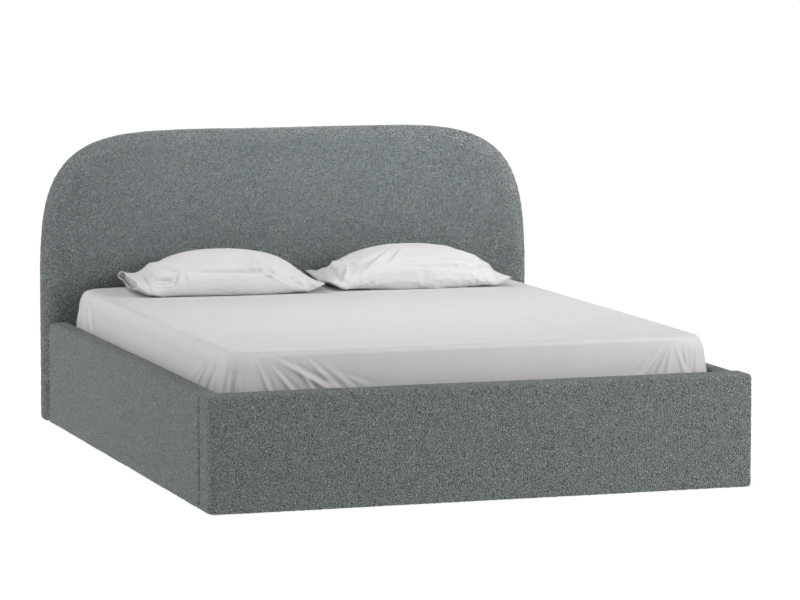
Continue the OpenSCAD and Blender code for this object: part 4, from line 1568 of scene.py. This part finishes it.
@dataclass
class Pillow:
    """A soft pillow in a plain case, lying on its flat side.

    It is lofted along its width from one section, which thins out towards its two ends and
    rises there by the tips. The open end has a cuff past the body. Its folds lie across and
    up as the photograph shows them, on the faces that look towards the foot or upwards.
    """

    side: Side
    open_end: bool = False
    width: float = 672 * MM
    depth: float = 400 * MM
    height: float = 150 * MM
    turn: float = math.radians(-4)
    seam: float = 0.035
    thinning: tuple[float, float] = (2.6, 0.78)
    waist: float = 0.05
    tip_start: float = 0.8
    tip_length: float = 0.2
    tip_curve: float = 1.6
    tip_rise: float = 34 * MM
    tip_spread: tuple[float, float] = (0.45, 1.1)
    crowding: float = math.pi / 2 * 0.9
    rings: int = 150
    around: int = 190
    softness: float = 1.6 * MM
    ripple_size: float = 0.12
    pressure: float = 4.0
    frames: int = 10
    cap: float = 6 * MM
    body_end: float = -0.95
    cuff_start: float = -0.86
    cuff_end: float = -1.0
    cuff_full: float = 0.43
    cuff_open: float = 0.27
    cuff_lines: tuple[float, ...] = (0, 0.3, 0.6, 0.85, 1)
    cuff_thick: float = 2.0 * MM
    cuff_thinnest: float = 0.5
    cuff_narrow: float = 0.985
    cuff_flare: float = 0.012
    cuff_wave: float = 2.5 * MM
    cuff_slant: float = 4 * MM
    cuff_bottom: float = 12 * MM
    seen_across: tuple[float, float, float] = (0.9496, -0.3134, 0.0)
    seen_up: tuple[float, float, float] = (0.0346, 0.1049, 0.9939)
    facing: tuple[float, float] = (-0.05, 0.35)
    upward: tuple[float, float] = (0.2, 0.6)
    section_size: tuple[float, float] = (392.0, 150.0)
    section: tuple[tuple[float, float], ...] = (
        (40, 0),
        (196, 0),
        (358, 0),
        (386, 12),
        (391, 44),
        (366, 88),
        (296, 130),
        (200, 150),
        (108, 132),
        (38, 98),
        (12, 66),
        (3, 30),
        (10, 5),
    )

    @property
    def node(self) -> str:
        """The part's own node."""
        return f"pillow_{self.side.word}"

    def outline(self) -> Points:
        """Runs a smooth closed line through the middle section's knots.

        Returns:
            Its points, in shares of the depth and of the height.
        """
        knots = np.array(self.section) / self.section_size
        knots[:, 0] = knots[:, 0] - 0.5
        count = len(knots)
        t = np.linspace(0, count, self.around, endpoint=False)
        k, f = t.astype(int), (t % 1)[:, None]
        p0, p1, p2, p3 = (knots[(k + i) % count] for i in (-1, 0, 1, 2))
        # A Catmull-Rom curve from each knot to the next
        curve = 2 * p1 + (p2 - p0) * f + (2 * p0 - 5 * p1 + 4 * p2 - p3) * f**2
        curve = (curve + (3 * p1 - p0 - 3 * p2 + p3) * f**3) / 2
        return np.column_stack([curve[:, 0], np.maximum(curve[:, 1], 0)])

    def ring(self, share: float, fullness: Optional[float] = None) -> Points:
        """One section of the pillow.

        Args:
            share: where it lies, from -1 at the left end to 1 at the right.
            fullness: its height as a share of the middle one's, or None for the usual.

        Returns:
            Its points round the pillow's own middle.
        """
        off = min(abs(share), 1.0)
        if fullness is None:
            flat, full = self.thinning
            fullness = self.seam + (1 - self.seam) * (1 - off**flat) ** full
        outline = self.outline()
        rise = self.tip_rise * max(0.0, (off - self.tip_start) / self.tip_length) ** self.tip_curve
        y = outline[:, 0] * self.depth * (1 - self.waist * math.sin(math.pi * off) ** 2)
        middle, edge = self.tip_spread
        rise = rise * (middle + edge * np.abs(outline[:, 0]))
        z = outline[:, 1] * self.height * fullness + rise
        return np.column_stack([np.full(len(y), share * self.width / 2), y, z])

    def cuff(self) -> bpy.types.Object:
        """Models the open end of the case: a thin sleeve with a dark mouth.

        Returns:
            The sleeve.
        """
        reach = self.cuff_end - self.cuff_start
        outer = [
            self.ring(self.cuff_start + reach * t, (1 - t) * self.cuff_full + t * self.cuff_open)
            for t in self.cuff_lines
        ]
        last = len(outer) - 1
        for k, line in enumerate(outer):
            line[:, 1] *= 1 + self.cuff_flare * k / last
            # Waves of about 165 mm along the mouth, and one of about 480 mm that slants it
            wave = np.sin(line[:, 1] * 38 + 0.8 * k) * (line[:, 2] > self.cuff_bottom)
            line[:, 2] += self.cuff_wave * wave * k / last
            line[:, 0] += self.cuff_slant * np.sin(line[:, 1] * 13) * k / last
        inner = []
        for line in outer[:0:-1]:
            middle = line.mean(0)
            thin = (line - middle) * (1, self.cuff_narrow, 1)
            inwards = np.minimum(self.cuff_thick, np.abs(thin[:, 2]) * self.cuff_thinnest)
            thin[:, 2] -= np.sign(thin[:, 2]) * inwards
            inner.append(thin + middle)
        return new_piece(f"{self.node}_cuff", *loft(outer + inner))

    def build(self) -> bpy.types.Object:
        """Models the pillow and lays it on the sheet.

        Returns:
            The finished piece.
        """
        left = self.body_end if self.open_end else -1.0
        turns = np.linspace(-1, 1, self.rings)
        crowded = np.sin(turns * self.crowding) / math.sin(self.crowding)
        shares = (left + 1) / 2 + crowded * (1 - left) / 2
        body = [self.ring(share) for share in shares]
        piece = new_piece(f"{self.node}_case", *loft(body))
        point_outwards(piece)
        self.settle(piece)
        if self.open_end:
            cuff = self.cuff()
            select_only(piece)
            cuff.select_set(True)
            bpy.ops.object.join()
        point_outwards(piece)
        swell(piece, relief(f"{self.node}_ripple", self.ripple_size), 2 * self.softness)
        self.lay(piece)
        self.fold(piece)
        smooth(piece, CLOTH_ANGLE)
        return dress(piece, PILLOW_COTTON, self.node, (self.node,))

    def settle(self, piece: bpy.types.Object) -> None:
        """Lets the case fill out as cloth, moving none of its points further than the cap.

        Args:
            piece: the case.
        """
        start = coordinates(piece)
        modifier = piece.modifiers.new("Cloth", "CLOTH")
        cloth = modifier.settings
        # Cotton round a soft filling: it stretches little and bends easily
        cloth.quality = 4
        cloth.mass = 0.3
        cloth.tension_stiffness = cloth.compression_stiffness = 15
        cloth.bending_stiffness = 0.2
        cloth.use_pressure = True
        cloth.uniform_pressure_force = self.pressure
        cloth.effector_weights.gravity = 0
        for number in range(1, self.frames + 1):
            bpy.context.scene.frame_set(number)
        select_only(piece)
        bpy.ops.object.modifier_apply(modifier=modifier.name)
        bpy.context.scene.frame_set(1)
        moved = coordinates(piece) - start
        length = np.linalg.norm(moved, axis=1)[:, None]
        cap = self.cap * np.tanh(length / self.cap) / np.maximum(length, 1e-9)
        log.info("%s settled by up to %.1f mm", piece.name, float(length.max()) / MM)
        set_coordinates(piece, start + moved * cap)

    def fold(self, piece: bpy.types.Object) -> None:
        """Presses the case's folds into the side that is seen from the foot.

        Args:
            piece: the case, lying in its place.
        """
        low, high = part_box(self.node)
        middle = np.array((low + high) / 2)
        points, normals = coordinates(piece), point_normals(piece)
        across, up = np.array(self.seen_across), np.array(self.seen_up)
        u, z = (points - middle) @ across, (points - middle) @ up
        seen = smoothstep(*self.facing, normals @ np.cross(across, up) * -1)
        seen = np.maximum(seen, smoothstep(*self.upward, normals[:, 2]))
        out = sum(each.relief(u, z) for each in PILLOW_FOLDS[self.side])
        points += normals * (out * seen)[:, None]
        points[:, 2] = np.maximum(points[:, 2], low.z + SEAT)
        set_coordinates(piece, points)

    def lay(self, piece: bpy.types.Object) -> None:
        """Turns the pillow a little and sets it down on the sheet.

        Args:
            piece: the case, round its own middle.
        """
        points = coordinates(piece)
        low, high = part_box(self.node)
        middle = (low + high) / 2
        cos, sin = math.cos(self.turn), math.sin(self.turn)
        x, y = points[:, 0].copy(), points[:, 1].copy()
        points[:, 0] = middle.x + x * cos - y * sin
        points[:, 1] = middle.y + x * sin + y * cos
        points[:, 2] = np.maximum(points[:, 2], 0) + low.z + SEAT
        set_coordinates(piece, points)


@dataclass
class BackLining:
    """A thin black cloth, hemmed and stapled over the back of the headboard."""

    headboard: HeadboardUpholstery
    cell: float = 12 * MM
    hem: float = 14 * MM
    hem_rise: float = 0.7 * MM
    pucker: float = 0.8 * MM
    hem_edge: float = 3 * MM
    pucker_pitch: float = 62 * MM
    pucker_reach: float = 30 * MM
    sag: float = 0.5 * MM
    foot_height: float = 60 * MM
    top_rim: float = 0.8
    thickness: float = 0.6 * MM
    flat: tuple[float, float] = (1.70, 0.93)
    area: float = 1.52

    def build(self) -> bpy.types.Object:
        """Models the lining inside the headboard's own outline.

        Returns:
            The finished piece.
        """
        low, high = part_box("headboard_back_lining")
        _, cover_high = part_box("headboard_cover")
        line = self.headboard.outline(cover_high.x - high.x)
        edge = line[(line[:, 0] > 0) & (line[:, 1] > low.z + self.foot_height)]
        edge = edge[np.argsort(edge[:, 0])]
        across = round(2 * high.x / self.cell)
        along = round((high.z - low.z) / self.cell)
        x = np.sin(np.linspace(-1, 1, across + 1) * math.pi / 2) * high.x
        top = np.interp(np.abs(x), edge[:, 0], edge[:, 1])
        share = np.linspace(0, 1, along + 1)[:, None]
        z = low.z + (top - low.z)[None] * share
        x = np.broadcast_to(x, z.shape)
        rim = np.minimum(high.x - np.abs(x), z - low.z)
        rim = np.minimum(rim, (top[None] - z) * self.top_rim)
        walk = np.where(share > 0.5, x, z)
        puckers = np.cos(2 * math.pi * walk / self.pucker_pitch) * np.exp(-rim / self.pucker_reach)
        # Slow waves of about a metre, where the cloth hangs loose between its staples
        sag = self.sag * np.sin(x * 6.1 + np.sin(z * 5)) * np.sin(z * 7.3)
        rise = self.hem_rise * (1 - smoothstep(self.hem - self.hem_edge, self.hem, rim))
        y = high.y + rise + self.pucker * np.abs(puckers) + sag + self.thickness
        ids = np.arange(x.size).reshape(x.shape)
        corners = [ids[:-1, :-1], ids[1:, :-1], ids[1:, 1:], ids[:-1, 1:]]
        quads = np.stack(corners, -1).reshape(-1, 4)
        points = np.stack([x, y, z], -1).reshape(-1, 3)
        piece = new_piece("headboard_lining_cloth", points, quads.tolist())
        apply_modifier(piece, "SOLIDIFY", thickness=self.thickness, offset=-1.0)
        smooth(piece)
        return dress(piece, LINING, "root", ("headboard_back_lining",))


@dataclass
class PullStrap:
    """A webbing strap, sewn into a loop round the foot tube of the lift frame."""

    thickness: float = 1.8 * MM
    radius: float = 4 * MM
    corner_steps: int = 6
    across: int = 12
    spacing: float = 3 * MM
    rib: float = 0.25 * MM

    def line(self) -> Points:
        """Draws the strap's path from under the tube to its free top.

        Returns:
            Its places as rows of Y and Z.
        """
        low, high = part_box("pull_strap")
        half = self.thickness / 2
        under, front = low.z + half, low.y + half
        corner = [
            (front + self.radius * (1 - math.cos(a)), under + self.radius * (1 - math.sin(a)))
            for a in np.linspace(math.pi / 2, 0, self.corner_steps + 1)
        ]
        path = np.array([(high.y - half, under)] + corner + [(front, high.z - half)])
        steps = np.concatenate([[0], np.cumsum(np.linalg.norm(np.diff(path, axis=0), axis=1))])
        places = np.linspace(0, steps[-1], round(steps[-1] / self.spacing))
        return np.column_stack([np.interp(places, steps, path[:, k]) for k in (0, 1)])

    def build(self) -> bpy.types.Object:
        """Models the strap with its ribs.

        Returns:
            The finished piece.
        """
        low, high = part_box("pull_strap")
        path = self.line()
        run = np.gradient(path, axis=0)
        run /= np.linalg.norm(run, axis=1)[:, None]
        x = np.linspace(low.x, high.x, self.across + 1)
        edge = np.concatenate([x, x[::-1]])
        ribs = self.rib * np.cos(np.arange(len(edge)) * math.pi)
        out = np.concatenate([np.full(len(x), 0.5), np.full(len(x), -0.5)]) * self.thickness
        rings = []
        for place, direction in zip(path, run):
            side = np.array([-direction[1], direction[0]])
            offset = (out + ribs * np.sign(out) * 0.5)[:, None] * side
            rings.append(np.column_stack([edge, place + offset]))
        piece = new_piece("pull_strap_webbing", *loft(rings))
        point_outwards(piece)
        smooth(piece)
        return dress(piece, WEBBING, "lift_frame", ("pull_strap",))


@dataclass(frozen=True)
class Softbox:
    """A softbox, by its place and its aim, and square unless it has a height."""

    name: str
    watts: float
    place: tuple[float, float, float]
    aim: tuple[float, float, float] = (0.2, 1.05, 0.7)
    size: float = 1.6
    height: float = 0.0
    spread: float = math.pi

    def hang(self) -> None:
        """Adds the softbox to the scene."""
        data = bpy.data.lights.new(self.name, "AREA")
        data.energy, data.size, data.spread = self.watts, self.size, self.spread
        if self.height:
            data.shape, data.size_y = "RECTANGLE", self.height
        lamp = bpy.data.objects.new(self.name, data)
        lamp.location = self.place
        towards = Vector(self.place) - Vector(self.aim)
        lamp.rotation_euler = towards.to_track_quat("Z", "Y").to_euler()
        bpy.context.scene.collection.objects.link(lamp)


@dataclass(frozen=True)
class Studio:
    """The camera, the light and the floor of a product photograph."""

    camera_place: tuple[float, float, float] = (-4.03242, -12.46889, 1.97182)
    heading: float = math.radians(18.2553)
    pitch: float = math.radians(6.342)
    focal_pixels: float = 3906.1
    frame_pixels: float = 800.0
    sensor: float = 36.0
    sky: float = 0.32
    sun: float = 1.87
    sun_spread: float = math.radians(60)
    sun_from: tuple[float, float, float] = (-0.35, -0.1, 0.5)
    softboxes: tuple[Softbox, ...] = (
        Softbox("front_softbox", 134.0, (3.2, -5.0, 2.2)),
        Softbox("right_softbox", 43.0, (3.0, -3.0, 1.6)),
        Softbox("left_softbox", 26.0, (-3.4, 0.9, 1.5), aim=(-0.8, 0.6, 0.4)),
        Softbox("headboard_softbox", 5.5, (1.6, -1.2, 2.0), spread=math.radians(80)),
        Softbox(
            "headboard_strip",
            1.7,
            (0.3, -0.9, 1.25),
            aim=(0.0, 1.1, 0.93),
            size=1.8,
            height=0.3,
            spread=math.radians(30),
        ),
        Softbox(
            "side_softbox",
            4.0,
            (2.8, 0.0, 1.3),
            aim=(0.2, 1.1, 0.8),
            size=1.0,
            spread=math.radians(80),
        ),
        Softbox(
            "rim_softbox",
            8.5,
            (0.0, 2.0, 1.45),
            aim=(0.0, 1.1, 1.0),
            size=0.8,
            spread=math.radians(80),
        ),
    )
    paper: str = "#808080"
    floor_glow: float = 0.84
    floor_size: float = 160.0
    floor_before: float = 30.0

    def add_camera(self) -> None:
        """Places the camera that took the photograph."""
        data = bpy.data.cameras.new("photo_camera")
        data.sensor_width = self.sensor
        data.lens = self.focal_pixels * self.sensor / self.frame_pixels
        data.clip_start, data.clip_end = 0.1, 2 * self.floor_size
        camera = bpy.data.objects.new("photo_camera", data)
        camera.location = self.camera_place
        camera.rotation_euler = Euler((math.pi / 2 - self.pitch, 0, -self.heading))
        bpy.context.scene.collection.objects.link(camera)
        bpy.context.scene.camera = camera

    def add_light(self) -> None:
        """Lights the bed from a white sky, and softly from above."""
        world = bpy.data.worlds.new("studio")
        world.use_nodes = True
        background = world.node_tree.nodes["Background"]
        background.inputs["Color"].default_value = linear("#ffffff")
        background.inputs["Strength"].default_value = self.sky
        bpy.context.scene.world = world
        data = bpy.data.lights.new("ceiling_softbox", "SUN")
        data.energy, data.angle = self.sun, self.sun_spread
        lamp = bpy.data.objects.new("ceiling_softbox", data)
        lamp.rotation_euler = Vector(self.sun_from).to_track_quat("Z", "Y").to_euler()
        bpy.context.scene.collection.objects.link(lamp)
        for softbox in self.softboxes:
            softbox.hang()
        bpy.context.scene.view_settings.view_transform = "Standard"

    def add_floor(self) -> None:
        """Lays a pale paper floor that glows, so that it is as white as the photograph's."""
        deselect_all()
        middle = self.floor_size / 2 - self.floor_before
        bpy.ops.mesh.primitive_plane_add(size=self.floor_size, location=(0, middle, 0))
        floor = bpy.context.object
        floor.name = "studio_floor"
        material = bpy.data.materials.new("white_paper")
        material.use_nodes = True
        shader = material.node_tree.nodes["Principled BSDF"]
        shader.inputs["Base Color"].default_value = linear(self.paper)
        shader.inputs["Roughness"].default_value = 1.0
        shader.inputs["Specular IOR Level"].default_value = 0.0
        shader.inputs["Emission Color"].default_value = linear("#ffffff")
        shader.inputs["Emission Strength"].default_value = self.floor_glow
        floor.data.materials.append(material)

    def build(self) -> None:
        """Sets up the whole studio."""
        self.add_camera()
        self.add_light()
        self.add_floor()


def low_panels() -> list[BlockUpholstery]:
    """Sets out the panels round the mattress.

    Returns:
        The side rails and the footboard.
    """
    made = []
    for side in Side:
        s = side.value
        name = f"side_rail_{side.word}"
        made.append(
            BlockUpholstery(
                f"{name}_upholstery",
                (f"{name}_cover", f"{name}_foam"),
                (f"{name}_board",),
                seam=6 * MM,
                roundings=(
                    Rounding((s, 0, 1), 26 * MM),
                    Rounding((-s, 0, 1), 18 * MM),
                    Rounding((0, 1, 1), 24 * MM),
                    Rounding((0, -1, 1), 8 * MM),
                    Rounding((s, 1, 0), 8 * MM),
                    Rounding((s, -1, 0), 4 * MM),
                ),
            )
        )
    ends = [Rounding((s, 0, 1), 12 * MM) for s in (-1, 1)]
    uprights = [Rounding((s, -1, 0), 22 * MM) for s in (-1, 1)]
    uprights += [Rounding((s, 1, 0), 12 * MM) for s in (-1, 1)]
    tops = [Rounding((0, s, 1), 15 * MM) for s in (-1, 1)]
    made.append(
        BlockUpholstery(
            "footboard_upholstery",
            ("footboard_cover", "footboard_foam"),
            ("footboard_front_board", "footboard_battens", "footboard_back_board"),
            rise=4 * MM,
            roundings=tuple(ends + uprights + tops),
        )
    )
    return made


def main() -> None:
    """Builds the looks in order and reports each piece."""
    Studio().build()
    finish_cad_nodes()
    headboard = HeadboardUpholstery(
        "headboard_upholstery", ("headboard_cover", "headboard_foam"), ("headboard_board",)
    )
    bed = [headboard, *low_panels(), BackLining(headboard), PullStrap(), Mattress(), FittedSheet()]
    bed += [Pillow(side, open_end=side is Side.LEFT) for side in Side]
    for each in bed:
        piece = each.build()
        log.info("%s: %d faces", piece.name, len(piece.data.polygons))
    bpy.context.view_layer.update()


if __name__ == "__main__":
    main()
